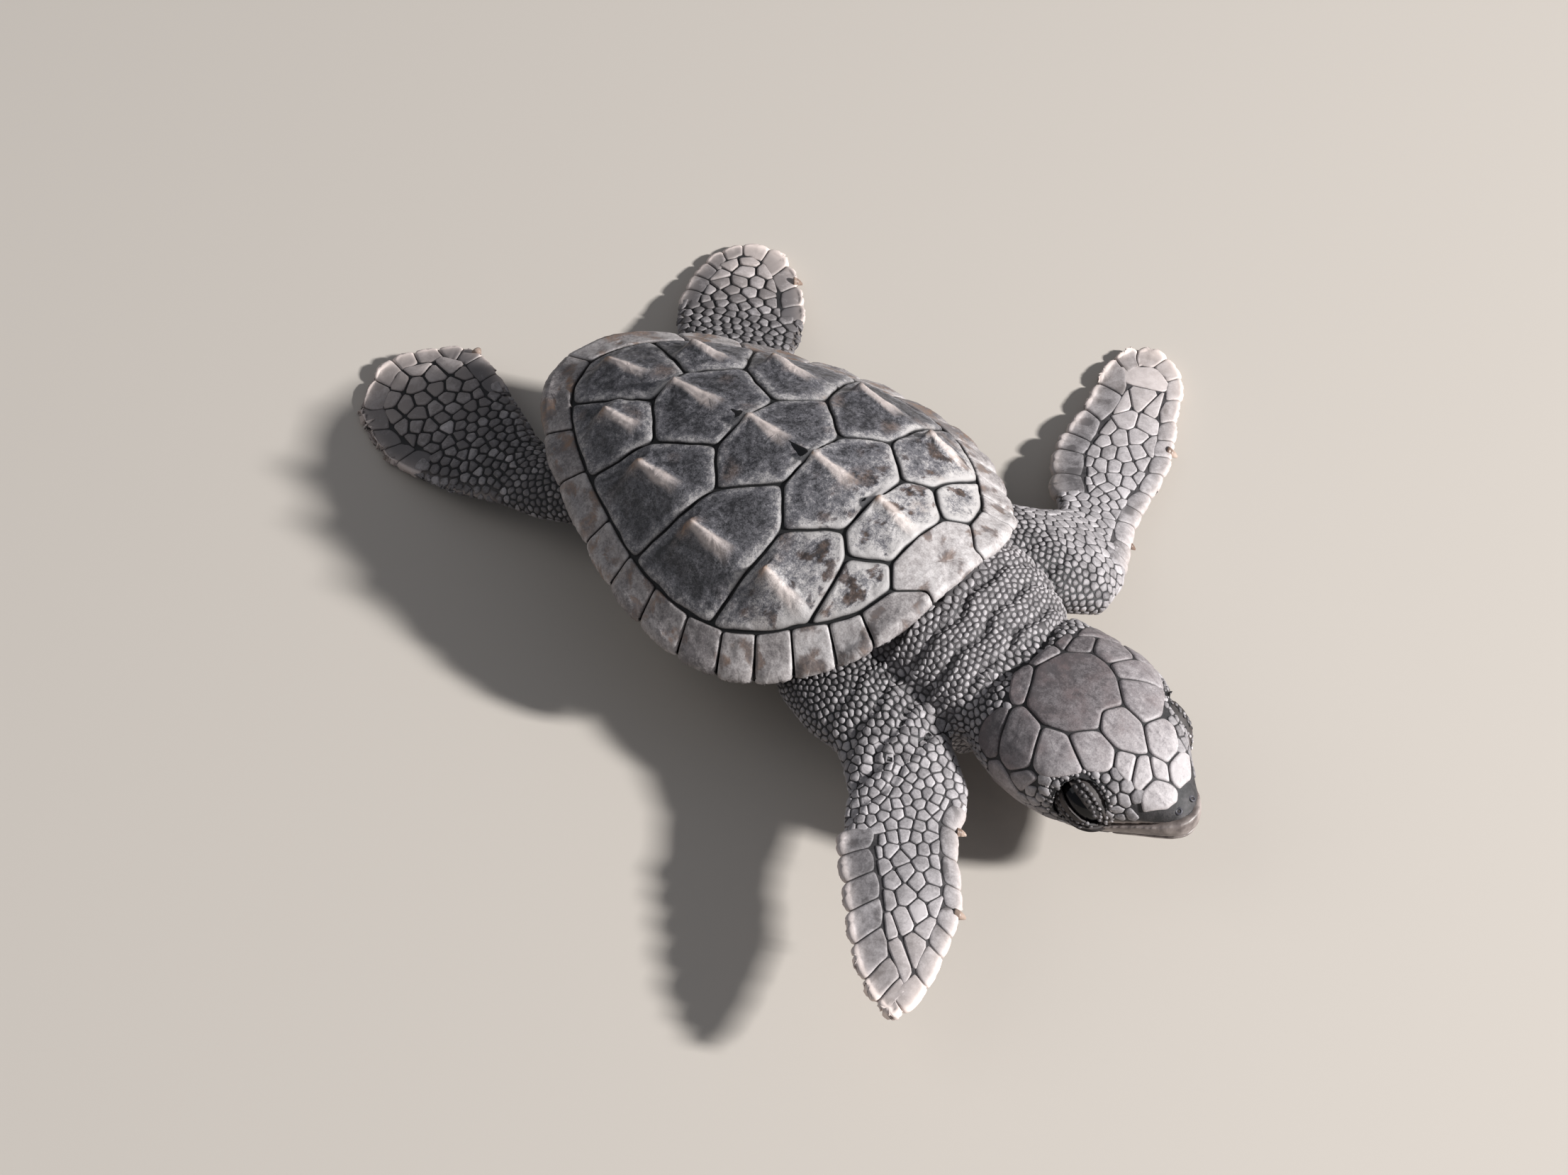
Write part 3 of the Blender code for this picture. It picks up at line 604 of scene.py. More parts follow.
# %% Margins of the flippers
MARGIN_PLATES = {          # pitch and depth on the trailing edge, then on the leading edge
    "flipper_front_right": (3.0, 3.2, 2.6, 2.0),
    "flipper_front_left": (3.4, 3.2, 2.7, 2.1),
    "flipper_rear_right": (2.9, 2.8, 2.8, 2.4),
    "flipper_rear_left": (2.9, 2.8, 2.8, 2.4),
}
WRAP = 0.7                 # mm: radius at which a plate bends over the margin
UNDER = 0.6                # depth of a margin plate below, as a share of its depth above
BARE = 0.34                # share of each edge of a rear flipper, from its root, with no plates
FAR = 99.0                 # mm: farther than any gap


class Margin:
    """The margin of one flipper, measured round it and across it."""

    def __init__(self, name):
        stations = np.array(FLIPPERS[name])
        self.ring = np.concatenate([stations[:, 2:], stations[::-1, :2]])
        steps = np.linalg.norm(np.diff(self.ring, axis=0), axis=1)
        self.run = np.concatenate([[0], np.cumsum(steps)])
        self.tip = (self.run[len(stations) - 1] + self.run[len(stations)]) / 2
        self.whole = self.run[-1]
        bare = 0.0 if "front" in name else BARE
        self.begin, self.end = self.tip * bare, self.whole - (self.whole - self.tip) * bare
        self.sizes = MARGIN_PLATES[name]
        self.axis = (stations[:, :2] + stations[:, 2:]) / 2
        self.heights = []
        for run in np.arange(0, self.whole, 0.6):
            at, inward = self.at(run)
            inner = at + inward * 1.3
            high = hide_tree.ray_cast(Vector((inner.x, inner.y, 40)), Vector((0, 0, -1)))[0]
            low = hide_tree.ray_cast(Vector((inner.x, inner.y, -5)), Vector((0, 0, 1)))[0]
            if high is not None:
                self.heights.append((run, (high.z + low.z) / 2))

    def plain(self, run):
        """The margin in plan, with the corners of its stations."""
        run = min(max(run, 0), self.whole)
        return Vector((float(np.interp(run, self.run, self.ring[:, 0])),
                       float(np.interp(run, self.run, self.ring[:, 1])), 0.0))

    def at(self, run):
        """A point of the margin in plan and the way inward from it."""
        along = self.plain(run + 1.1) - self.plain(run - 1.1)
        inward = Vector((-along.y, along.x, 0)).normalized()
        here = self.plain(run)
        gaps = np.linalg.norm(self.axis - np.array(here.xy), axis=1)
        heart = self.axis[max(int(np.argmin(gaps)) - 1, 0)]
        if inward.dot(Vector((*heart, 0)) - here) < 0:
            inward = -inward
        return here, inward

    def pitch(self, run):
        """How far round the margin one plate reaches."""
        return self.blend(run, self.sizes[0], self.sizes[2])

    def depth(self, run):
        """How far in from the margin a plate reaches on the upper side."""
        return self.blend(run, self.sizes[1], self.sizes[3])

    def blend(self, run, trail, lead):
        """The trailing edge's value that turns into the leading edge's over 5 mm at the tip."""
        return trail + (lead - trail) * np.clip((run - self.tip) / 5 + 0.5, 0, 1)

    def skew(self, run):
        """How far the inner end of a seam lies toward the wrist from its outer end."""
        near_tip = min(abs(run - self.tip) / 4, 1.0)
        lean = self.out(run) ** 0.8 * near_tip
        return -1.8 * lean if run < self.tip else 0.8 * lean

    def out(self, run):
        """Share of the way from the wrist to the tip."""
        return run / self.tip if run < self.tip else (self.whole - run) / (self.whole - self.tip)

    def spot(self, run, across):
        """The point of the hide so far round and across, and its normal."""
        at, inward = self.at(run)
        turn = max(min(across / WRAP, math.pi / 2), -math.pi / 2)
        past = max(0.0, abs(across) - WRAP * math.pi / 2)
        core = at + inward * (WRAP + past)
        core.z = float(np.interp(run, *zip(*self.heights)))
        way = inward * -math.cos(turn) + Vector((0, 0, math.sin(turn)))
        return seen_from(core, way, 4, 5.5, 0.5)


MARGINS = {name: Margin(name) for name in MARGIN_PLATES}
hide_tone = np.where(parts == PART["neck"], 0.3, 0.0)
rim_gaps = np.full((count, 2), FAR)        # mm from a site to the plates of either edge
rim_ways = np.zeros((count, 2, 2))
for name, margin in MARGINS.items():
    mine = np.flatnonzero(parts == PART[name])
    below = site_ways[mine, 2] < 0
    best = np.full((len(mine), 2), FAR)
    for k, (a, b) in enumerate(zip(margin.ring, margin.ring[1:])):
        share = np.clip(((sites[mine, :2] - a) @ (b - a)) / max((b - a) @ (b - a), 1e-9), 0, 1)
        toward = a + share[:, None] * (b - a) - sites[mine, :2]
        gap = np.linalg.norm(toward, axis=1)
        run = margin.run[k] + share * (margin.run[k + 1] - margin.run[k])
        half = (run > margin.tip).astype(int)
        for edge in (0, 1):
            nearer = (half == edge) & (gap < best[:, edge])
            best[nearer, edge] = gap[nearer]
            depth = margin.depth(run) * np.where(below, UNDER, 1.0) - WRAP * (math.pi / 2 - 1)
            past = (run < margin.begin + 0.02) | (run > margin.end - 0.02)
            rim_gaps[mine[nearer], edge] = np.where(past, FAR, gap - depth)[nearer]
            rim_ways[mine[nearer], edge] = (toward / np.maximum(gap, 1e-6)[:, None])[nearer]
    edge_mm = best.min(axis=1)
    cream[mine] = np.exp(-((edge_mm / 0.7) ** 2)) * (0.35 + 0.5 * out_share[mine] ** 2)
    hide_tone[mine] = 0.1
print("margins", [round(float(margin.whole), 1) for margin in MARGINS.values()], "mm long")

# %% [markdown]
# Seeding walks through the sites in a shuffled but fixed order. Each free site becomes a seed
# and covers its neighbourhood, measured shorter along the way its scales are stretched. Then the
# seeds settle: in a dozen rounds each is pushed off by those that stand too close to it.

# %% Seeds
LIFT = 0.9                 # mm off the hide, where a flipper's two faces lie well apart
SETTLE_ROUNDS = 12
SETTLE_REACH = 1.3         # of a seed's spacing: neighbours this near push it
SETTLE_STEP = 0.2          # of the push: how far it moves in a round
PACKED = 0.93              # share of the spacing that a first seed keeps free
EYE_CLEAR = 2.5            # mm round an eye's middle with no scales
mouth = mouth_height(sites[:, 0])
under_nose = sites[:, 2] < mouth + 1.9
cream[snout & under_nose & (sites[:, 2] > mouth)] = 0.45      # the beak's pale cutting edge
chin = sites[:, 2] < mouth - 1.3
growable = ~covered & ~shielded & (to_eye > EYE_CLEAR)
growable &= ~(snout & ~chin & (under_nose | (sites[:, 0] > 41.5)))
open_ground = ~covered & (rim_gaps.min(axis=1) > 0.3 * spacing)
lifted = sites + site_ways * LIFT
site_tree = KDTree(count)
for number, spot in enumerate(lifted):
    site_tree.insert(spot, number)
site_tree.balance()
free = open_ground.copy()
first_seeds = []
for number in rng.permutation(count):
    if not free[number]:
        continue
    first_seeds.append(number)
    near = np.array([n for _, n, _ in site_tree.find_range(
        lifted[number], spacing[number] * stretch[number])])
    gap = sites[near] - sites[number]
    along = gap @ heading[number]
    off = np.linalg.norm(gap - along[:, None] * heading[number], axis=1)
    free[near[np.hypot(along / stretch[number], off) < spacing[number] * PACKED]] = False

seeds = np.array(first_seeds)
seed_spots = [Vector(spot) for spot in sites[seeds]]
seed_ways = [Vector(way) for way in site_ways[seeds]]


def seed_tree():
    """The seeds' places, lifted off the hide so that the two faces of a flipper stay apart."""
    tree = KDTree(len(seed_spots))
    for number, (spot, way) in enumerate(zip(seed_spots, seed_ways)):
        tree.insert(spot + way * LIFT, number)
    tree.balance()
    return tree


for _ in range(SETTLE_ROUNDS):
    tree = seed_tree()
    for number in range(len(seeds)):
        seed, spot, way = seeds[number], seed_spots[number], seed_ways[number]
        reach, longer = float(spacing[seed]) * SETTLE_REACH, float(stretch[seed])
        along = Vector(heading[seed])
        push = Vector()
        for _, other, _ in tree.find_n(spot + way * LIFT, 9):
            if other == number or seed_ways[other].dot(way) < 0.3:
                continue
            gap = spot - seed_spots[other]
            gap -= along * gap.dot(along) * (1 - 1 / longer)
            if 1e-6 < gap.length < reach:
                push += gap * (reach / gap.length - 1)
        near, normal, face, _ = hide_tree.find_nearest(spot + push * SETTLE_STEP)
        if open_ground[face]:
            seeds[number], seed_spots[number], seed_ways[number] = face, near, normal
print(len(seeds), "seeds,", int(growable[seeds].sum()), "of them scales")

# %% [markdown]
# Each scale starts as a flat disc round its seed. The line midway to each neighbour cuts a slice
# off it, which leaves the many-sided shape that crowded scales press each other into. Its corners
# are rounded, one or two steps inward make a rim and a crown, and every point is laid onto the
# hide.

# %% Grow one scale
DISC_SIDES = 10


def step_in(bm, face, width):
    """Insets a face by an even width, each corner straight toward its heart, so none cross."""
    heart = face.calc_center_median_weighted()
    inner = bmesh.ops.extrude_discrete_faces(bm, faces=[face])["faces"][0]
    ring = [loop.vert for loop in inner.loops]
    spots = [vert.co.copy() for vert in ring]
    for number, vert in enumerate(ring):
        side = (spots[(number + 1) % len(ring)] - spots[number - 1]).normalized()
        toward = heart - spots[number]
        slant = max(toward.normalized().cross(side).length, 0.35)
        vert.co += toward * min(width / slant / max(toward.length, 1e-4), 0.4)
    return inner


def scale_shape(rivals, wide, groove, rounding, steps):
    """A crowned polygon in its own plane: its points, their rings, its faces and breadth."""
    bm = bmesh.new()
    bmesh.ops.create_circle(bm, cap_ends=True, radius=wide, segments=DISC_SIDES)
    for spot, way in rivals:
        bmesh.ops.bisect_plane(bm, geom=bm.verts[:] + bm.edges[:] + bm.faces[:],
                               plane_co=spot - way * groove / 2, plane_no=way,
                               clear_outer=True)
        if not bm.faces:
            bm.free()
            return None
    bmesh.ops.remove_doubles(bm, verts=bm.verts[:], dist=wide * 0.07)
    if len(bm.faces) != 1 or len(bm.verts) < 3:
        bm.free()
        return None
    if rounding:
        bmesh.ops.bevel(bm, geom=bm.verts[:], offset=rounding, offset_type="PERCENT", segments=1,
                        profile=0.5, affect="VERTICES", material=-1)
    face = max(bm.faces, key=lambda each: each.calc_area())
    breadth = math.sqrt(face.calc_area())
    rings = [list(face.verts)]
    for step in steps:
        face = step_in(bm, face, min(step, 0.22 * breadth))
        rings.append(list(face.verts))
    rings.append(bmesh.ops.poke(bm, faces=[face])["verts"])
    level = {}
    for number, ring in enumerate(rings):
        for vert in ring:
            level.setdefault(vert, number)
    bm.verts.index_update()
    points = [vert.co.copy() for vert in bm.verts]
    levels = [level.get(vert, 0) for vert in bm.verts]
    faces = [[vert.index for vert in each.verts] for each in bm.faces]
    faces.append([vert.index for vert in rings[0]][::-1])
    bm.free()
    return points, levels, faces, breadth


shape = scale_shape([(Vector((0.4, 0, 0)), Vector((1, 0, 0)))], 0.6, 0.08, 30.0, [0.1])
print("a bead has", len(shape[2]), "faces")

# %% [markdown]
# The hide is unwrapped once, on a coarse copy of its own shape, and every scale takes a patch
# 0.003 wide at its root's place there. A baker can then paint each scale on one square.

# %% Unwrap the hide's own shape
coarse = bmesh.new()
coarse.from_mesh(hide)
chart_mesh = remeshed(coarse, 1.1, 0, "chart")
chart = bpy.data.objects.new("chart", chart_mesh)
bpy.context.scene.collection.objects.link(chart)
bpy.context.view_layer.objects.active = chart
chart.select_set(True)
bpy.ops.object.mode_set(mode="EDIT")
bpy.ops.mesh.select_all(action="SELECT")
bpy.ops.uv.smart_project(angle_limit=math.radians(66), island_margin=0.004)
bpy.ops.object.mode_set(mode="OBJECT")
chart_uv = chart_mesh.uv_layers.active.data
chart_faces = []
for polygon in chart_mesh.polygons:
    spots_3d = [chart_mesh.vertices[v].co.copy() for v in polygon.vertices]
    spots_uv = [Vector((*chart_uv[i].uv, 0.0)) for i in polygon.loop_indices]
    chart_faces.append((spots_3d, spots_uv))
chart_tree = BVHTree.FromPolygons([v.co.copy() for v in chart_mesh.vertices],
                                  [tuple(p.vertices) for p in chart_mesh.polygons])
bpy.data.objects.remove(chart)
print("chart", len(chart_faces), "faces")


def chart_place(spot):
    """Where a point of the hide lies on the unwrap."""
    near, _, face, _ = chart_tree.find_nearest(spot)
    corners, places = chart_faces[face]
    weights = [1.0 / max((near - corner).length, 1e-4) ** 2 for corner in corners]
    whole = sum(weights)
    return sum((place * (w / whole) for place, w in zip(places, weights)), Vector()).xy


# %% [markdown]
# A coat gathers shapes as arrays and becomes one mesh at the end, which is quick for thousands of
# scales. Its marks go in as float attributes and its patches as the OFBake map.

# %% A coat of many small shapes
def corners_of(mesh):
    """The vertex at every corner of every face."""
    corner = np.zeros(len(mesh.loops), np.int32)
    mesh.loops.foreach_get("vertex_index", corner)
    return corner


class Coat:
    """Many small closed shapes that end up as one mesh with marks and patches."""

    def __init__(self, name):
        self.name = name
        self.points, self.faces, self.patches = [], [], []
        self.marks = {mark: [] for mark in MARKS}

    def take(self, points, faces, patches, **marks):
        """Adds one shape: its points, its faces, a patch place for each point, and marks."""
        start = len(self.points)
        self.points += points
        self.faces += [[start + i for i in face] for face in faces]
        self.patches += patches
        for mark, values in self.marks.items():
            given = marks.get(mark, 0.0)
            values += list(given) if hasattr(given, "__len__") else [given] * len(points)

    def mesh(self):
        """The whole coat as a mesh in millimetres."""
        made = bpy.data.meshes.new(self.name)
        made.from_pydata([tuple(p) for p in self.points], [], self.faces)
        for mark, values in self.marks.items():
            layer = made.attributes.new(mark, "FLOAT", "POINT")
            layer.data.foreach_set("value", np.array(values, np.float32))
        places = np.array([tuple(p) for p in self.patches], np.float32)[corners_of(made)]
        made.uv_layers.new(name="OFBake").data.foreach_set("uv", places.ravel())
        made.validate()
        return made


def patch(root_place, points, reach):
    """Each point's place on a square 0.003 across round the root's place."""
    return [root_place + Vector((p[0], p[1])) * (0.0015 / reach) for p in points]


# %% [markdown]
# Where each scale goes on the body decides which coat it joins, so that no coat grows too big to
# handle. A rival's line lies midway between two seeds, in a measure that counts distance along
# the stretch for less. Small scales are beads, and larger ones are plates with a flat crown.

# %% Lay the scales
COATS = {"scales_neck": ["neck"], "scales_trunk": ["trunk", "tail"],
         "scales_head": ["head", "lower_jaw"], "scales_arms": ["arm_front_right", "arm_front_left"],
         "scales_front": ["flipper_front_right", "flipper_front_left"],
         "scales_rear": ["leg_rear_right", "leg_rear_left", "flipper_rear_right",
                         "flipper_rear_left"]}
coats = {name: Coat(name) for name in COATS}
coat_of = {PART[part]: name for name, members in COATS.items() for part in members}
BEAD_LIFTS, BEAD_RISES = (0.0, 0.85, 1.0), (0.0, 0.9, 1.0)          # ring by ring
PLATE_LIFTS, PLATE_RISES = (0.0, 0.75, 1.0, 1.05), (0.0, 0.8, 1.0, 1.0)
BEAD_FORM = (28.0, [0.1])                       # rounding in percent, then mm of each step in
PLATE_FORM = (14.0, [0.06, 0.12])
PLATED = 0.66              # mm of spacing from which a scale is a plate
GROOVE, REAR_GROOVE = 0.06, 0.17                # mm between scales, and on the rear limbs' plates
RIM_GROOVE, BOLD_GROOVE = 0.1, 0.16             # mm before the plates of a margin
FRONT_PARTS = (PART["flipper_front_right"], PART["flipper_front_left"])
SUNK = 0.05                # mm: how far the foot of a scale lies under the hide
LEAST_BREADTH = 0.18       # mm: a narrower sliver is left out
STRAY, STRAY_ON_HEAD = 0.9, 0.25                # mm that a scale may hang past the hide
tree = seed_tree()


def onto_hide(spot, way):
    """The hide under a point, straight down its seed's normal, or else the nearest."""
    near, face_way, face, _ = hide_tree.ray_cast(spot + way * 0.7, -way, 1.6)
    if near is None or face_way.dot(way) < 0.1:
        near, face_way, face, _ = hide_tree.find_nearest(spot)
    return near, face_way


def rival_lines(number, along, aside):
    """The lines that trim a seed's disc: a point on each in the disc's plane, and its way out."""
    seed, root, way = seeds[number], seed_spots[number], seed_ways[number]
    mine, longer = float(spacing[seed]), float(stretch[seed])
    lines = []
    for _, other, _ in tree.find_n(root + way * LIFT, 18):
        if other == number or seed_ways[other].dot(way) < -0.1:
            continue
        gap = seed_spots[other] - root
        toward = Vector((gap.dot(along), gap.dot(aside), 0.0))
        if toward.length < 1e-6:
            continue
        toward *= gap.length / toward.length
        line = Vector((toward.x / longer ** 2, toward.y, 0.0)).normalized()
        line = (line + toward.normalized()).normalized()
        lines.append((toward * (mine / (mine + float(spacing[seeds[other]]))), line))
    for edge in (0, 1):
        if rim_gaps[seed, edge] < 3 * mine:
            out = Vector((*rim_ways[seed, edge], 0.0))
            line = Vector((out.dot(along), out.dot(aside), 0.0)).normalized()
            bold = edge == 0 and parts[seed] in FRONT_PARTS and mine > 0.75
            spare = RIM_GROOVE
            spare += BOLD_GROOVE * (1 - float(out_share[seed]) ** 2) if bold else 0.0
            lines.append((line * (float(rim_gaps[seed, edge]) - spare), line))
    return lines


for number, seed in enumerate(seeds):
    if not growable[seed]:
        continue
    root, way = seed_spots[number], seed_ways[number]
    mine = float(spacing[seed])
    along = Vector(heading[seed])
    along = along - way * along.dot(way)
    if along.length < 1e-3:
        along = way.orthogonal()
    along.normalize()
    aside = way.cross(along)
    plated = mine > PLATED
    rear = coat_of[parts[seed]] == "scales_rear"
    wide = mine * float(stretch[seed]) * 0.95
    grown = scale_shape(rival_lines(number, along, aside), wide,
                        REAR_GROOVE if rear and plated else GROOVE,
                        *(PLATE_FORM if plated else BEAD_FORM))
    if grown is None or grown[3] < LEAST_BREADTH:
        continue
    points, levels, faces, breadth = grown
    lifts, rises = (PLATE_LIFTS, PLATE_RISES) if plated else (BEAD_LIFTS, BEAD_RISES)
    tall = float(height[seed]) * min(1.0, 0.45 + 0.6 * breadth)
    laid, rise, stray = [], [], 0.0
    for point, level in zip(points, levels):
        over = root + along * point.x + aside * point.y
        near, face_way = onto_hide(over, way)
        stray = max(stray, (near - over).length - 0.35 * wide)
        lift = lifts[level] * tall if level else -SUNK
        laid.append(near + (face_way + way).normalized() * lift)
        rise.append(rises[level])
    if stray > (STRAY_ON_HEAD if head[seed] else STRAY):
        continue
    out = float(out_share[seed])
    tone = float(rng.normal(0.0, 0.1 if rear else 0.06)) + float(tone_and_painted_shade[seed]) + 0.1 * out
    coats[coat_of[parts[seed]]].take(laid, faces, patch(chart_place(root), points, wide),
                                     rise=rise, cream=0.65 * out ** 3, tone=tone)
for coat in coats.values():
    print(coat.name, len(coat.faces), "faces")

# %% [markdown]
# A shield or scute is a bigger plate and gets more care: its outline shrinks by half a groove,
# its corners are rounded, and rings step in from its edge, first by even widths and then by
# shrinking toward its heart, the way horn grows outward from the scute's centre.

# %% One plate
EDGE_STEPS = ((0.06, 0.55), (0.1, 0.85), (0.18, 1.0))      # width of a step, share of the height


def only(kind, geometry):
    """The items of one kind among what an operator gave back."""
    return [item for item in geometry if isinstance(item, kind)]


def eased(bm, verts, rounds):
    """Smooths some points of a flat shape."""
    for _ in range(rounds):
        bmesh.ops.smooth_vert(bm, verts=verts, factor=0.5, use_axis_x=True, use_axis_y=True,
                              use_axis_z=True)


def plate_shape(corners, groove, soften, pitch, rings, steps):
    """A closed flat plate as a bmesh, the height share of its edge's points, its foot and heart."""
    bm = bmesh.new()
    ring = [bm.verts.new((x, y, 0.0)) for x, y in corners]
    by_cuts = {}
    for near, far in zip(ring, ring[1:] + ring[:1]):
        edge = bm.edges.new((near, far))
        by_cuts.setdefault(int(edge.calc_length() / pitch), []).append(edge)
    for cuts, edges in by_cuts.items():
        if cuts:
            bmesh.ops.subdivide_edges(bm, edges=edges, cuts=cuts)
    eased(bm, bm.verts[:], soften)
    face = bmesh.ops.contextual_create(bm, geom=bm.edges[:])["faces"][0]
    face.normal_update()
    if face.normal.z < 0:
        face.normal_flip()
    face = step_in(bm, face, groove / 2)
    bmesh.ops.delete(bm, geom=[f for f in bm.faces if f is not face], context="FACES")
    level = {vert: 0.0 for vert in face.verts}
    for width, share in steps:
        face = step_in(bm, face, width)
        eased(bm, list(face.verts), 2)
        for vert in face.verts:
            level.setdefault(vert, share)
    brim = [edge for edge in bm.edges if edge.is_boundary]
    heart = face.calc_center_median_weighted()
    loop = list(face.edges)
    bmesh.ops.delete(bm, geom=[face], context="FACES_ONLY")
    shares = [1 - (k / rings) ** 1.15 for k in range(rings)]
    for near, far in zip(shares, shares[1:]):
        grown = bmesh.ops.extrude_edge_only(bm, edges=loop)["geom"]
        loop = only(bmesh.types.BMEdge, grown)
        inner = only(bmesh.types.BMVert, grown)
        bmesh.ops.scale(bm, vec=(far / near, far / near, 1.0), verts=inner,
                        space=Matrix.Translation(-heart))
    bmesh.ops.contextual_create(bm, geom=loop)
    middle = [f for f in bm.faces if len(f.verts) > 4]
    bmesh.ops.poke(bm, faces=middle)
    floor = bmesh.ops.extrude_edge_only(bm, edges=brim)["geom"]
    foot = set(only(bmesh.types.BMVert, floor))
    bmesh.ops.translate(bm, verts=list(foot), vec=(0, 0, -1.0))
    bmesh.ops.contextual_create(bm, geom=only(bmesh.types.BMEdge, floor))
    bmesh.ops.recalc_face_normals(bm, faces=bm.faces[:])
    bm.verts.index_update()
    return bm, level, foot, heart


def plate(coat, corners, place, tall, groove=0.2, soften=3, pitch=0.3, rings=9, deep=0.25,
          relief=None, marks=None, root=None, tone=0.0, steps=EDGE_STEPS):
    """Adds one closed plate to a coat. place(x, y) gives a point and normal under it."""
    bm, level, foot, heart = plate_shape(corners, groove, soften, pitch, rings, steps)
    laid, rise, flats, extra = [], [], [], {"cream": [], "stain": [], "tone": []}
    reach = max((vert.co.xy - heart.xy).length for vert in bm.verts)
    for vert in bm.verts:
        spot, way = place(vert.co.x, vert.co.y)
        share = level.get(vert, 1.0)
        lift = -deep if vert in foot else share * tall
        if relief and vert not in foot:
            lift += relief(vert.co.x, vert.co.y) * share
        laid.append(spot + way * lift)
        flats.append((vert.co.x - heart.x, vert.co.y - heart.y))
        rise.append(0.0 if vert in foot else 0.12 + 0.88 * share)
        given = marks(vert.co.x, vert.co.y) if marks else {}
        for mark, values in extra.items():
            values.append(given.get(mark, 0.0) + (tone if mark == "tone" else 0.0))
    faces = [[vert.index for vert in each.verts] for each in bm.faces]
    bm.free()
    spot, way = place(heart.x, heart.y)
    forth = place(heart.x + 0.05, heart.y)[0] - spot
    aside = place(heart.x, heart.y + 0.05)[0] - spot
    if forth.cross(aside).dot(way) < 0:          # the place runs mirrored
        faces = [face[::-1] for face in faces]
    root_place = chart_place(spot) if root is None else root
    coat.take(laid, faces, patch(root_place, flats, reach), rise=rise, **extra)


# %% [markdown]
# The shields of the head are laid first. They are browner on the crown, paler toward the snout
# and streaked along the head.

# %% Plates of the head
def held(value):
    """A share kept between 0 and 1."""
    return max(0.0, min(1.0, value))


def noise_at(x, y, z):
    """Smooth noise from -1 to 1."""
    return noise.noise(Vector((x, y, z)))


SHIELD = 0.2               # mm: height of a head shield's crown
shield_coat = Coat("head_shields")
for number, (name, corners) in enumerate(SHIELDS.items()):
    tone = float(rng.normal(0.0, 0.04)) - (0.1 if name == "frontoparietal" else 0.0)

    def head_relief(x, y):
        return 0.04 * noise.fractal(Vector((x * 1.2, y * 1.2, number)), 0.7, 2.1, 4)

    def head_marks(x, y):
        tinted = noise_at(x * 0.6, y * 0.6, 4.0)
        streak = noise_at(x * 0.7, y * 3.4, number)
        brown = 0.3 if name in ("frontoparietal", "frontal") else 0.1
        return {"stain": max(0.0, 0.9 * (tinted + brown)) * held((39 - x) / 4),
                "tone": 0.14 * streak + 0.035 * (x - 33) + 0.08}

    plate(shield_coat, [(x, turn * DEGREE_MM) for x, turn in corners], head_spot, SHIELD,
          groove=0.13, pitch=0.26, relief=head_relief, marks=head_marks, tone=tone)
print("head shields", len(shield_coat.faces), "faces")

# %% [markdown]
# The margin plates are drawn flat, in mm round the margin and across it, then bent over the
# edge. Each bulges a little at the edge itself, so the row of them makes a scalloped outline,
# and the horn pales toward the rim and the tip.

# %% Plates of the margins
MARGIN_RISE, MARGIN_DEEP = 0.13, 0.12           # mm that a plate stands above and goes under
# The rear flippers' margin plates are darker, partly their own colour and partly painted shade of
# the body's shadow.
MARGIN_LOOKS = {           # groove, bulge, least cream before and past the tip, how much darker
    "front": (0.1, 0.44, 0.5, 0.32, 0.0), "rear": (0.12, 0.34, 0.6, 0.6, 0.28)}
LEADING_BULGE = 0.14       # mm, past the tip, where the edge is straighter
margin_coat = Coat("margin_plates")
for name, margin in MARGINS.items():
    groove, trailing_bulge, pale, pale_past, darker = MARGIN_LOOKS[name.split("_")[1]]
    start, lean = margin.begin, 0.0
    first = float(margin.depth(start))
    while start < margin.end - 0.8:
        end = start + float(margin.pitch(start + 1) * rng.uniform(0.78, 1.22))
        if margin.end - end < 1.0:
            end = margin.end - 0.1
        middle, half = (start + end) / 2, (end - start) / 2
        out = margin.out(middle)
        last = float(margin.depth(end) * rng.uniform(0.88, 1.1))
        next_lean = margin.skew(end) + float(rng.normal(0.0, 0.16))
        inner = (start + lean, end + next_lean)
        corners = [(inner[0], first), (sum(inner) / 2, (first + last) / 2 + 0.2),
                   (inner[1], last), (end, 1.0), (end, -last * UNDER),
                   (start, -first * UNDER), (start, 1.0)]
        trailing = middle < margin.tip
        bulge = trailing_bulge if trailing else LEADING_BULGE

        def margin_relief(run, across):
            off = min(abs(run - middle) / half, 1.0)
            swell = bulge * (1 - off**2.4) * math.exp(-((across / 0.75) ** 2))
            return swell + 0.03 * noise_at(run * 1.4, across * 1.4, 3.0)

        def margin_marks(run, across):
            edge = math.exp(-((across / 1.0) ** 2))
            smudge = max(0.0, noise_at(run * 0.7, across * 0.9, middle) - 0.25)
            inward = held((across - 0.6) / 1.4) * (1 - out)
            least = pale if trailing else pale_past
            return {"cream": min(0.95, (least + 0.5 * out**2) * edge + 0.5 * out**4),
                    "tone": -(1.1 * smudge + 0.16 * inward) * (1 - edge)}

        tone = float(rng.normal(0.06, 0.05)) - darker
        plate(margin_coat, corners, margin.spot, MARGIN_RISE, groove, soften=1, pitch=0.33,
              rings=6, deep=MARGIN_DEEP, relief=margin_relief, marks=margin_marks, tone=tone)
        start, lean, first = end, next_lean, last
print("margin plates", len(margin_coat.faces), "faces")

# %% [markdown]
# The coats become pieces, and the hide takes the same marks from the fields of its own sites.

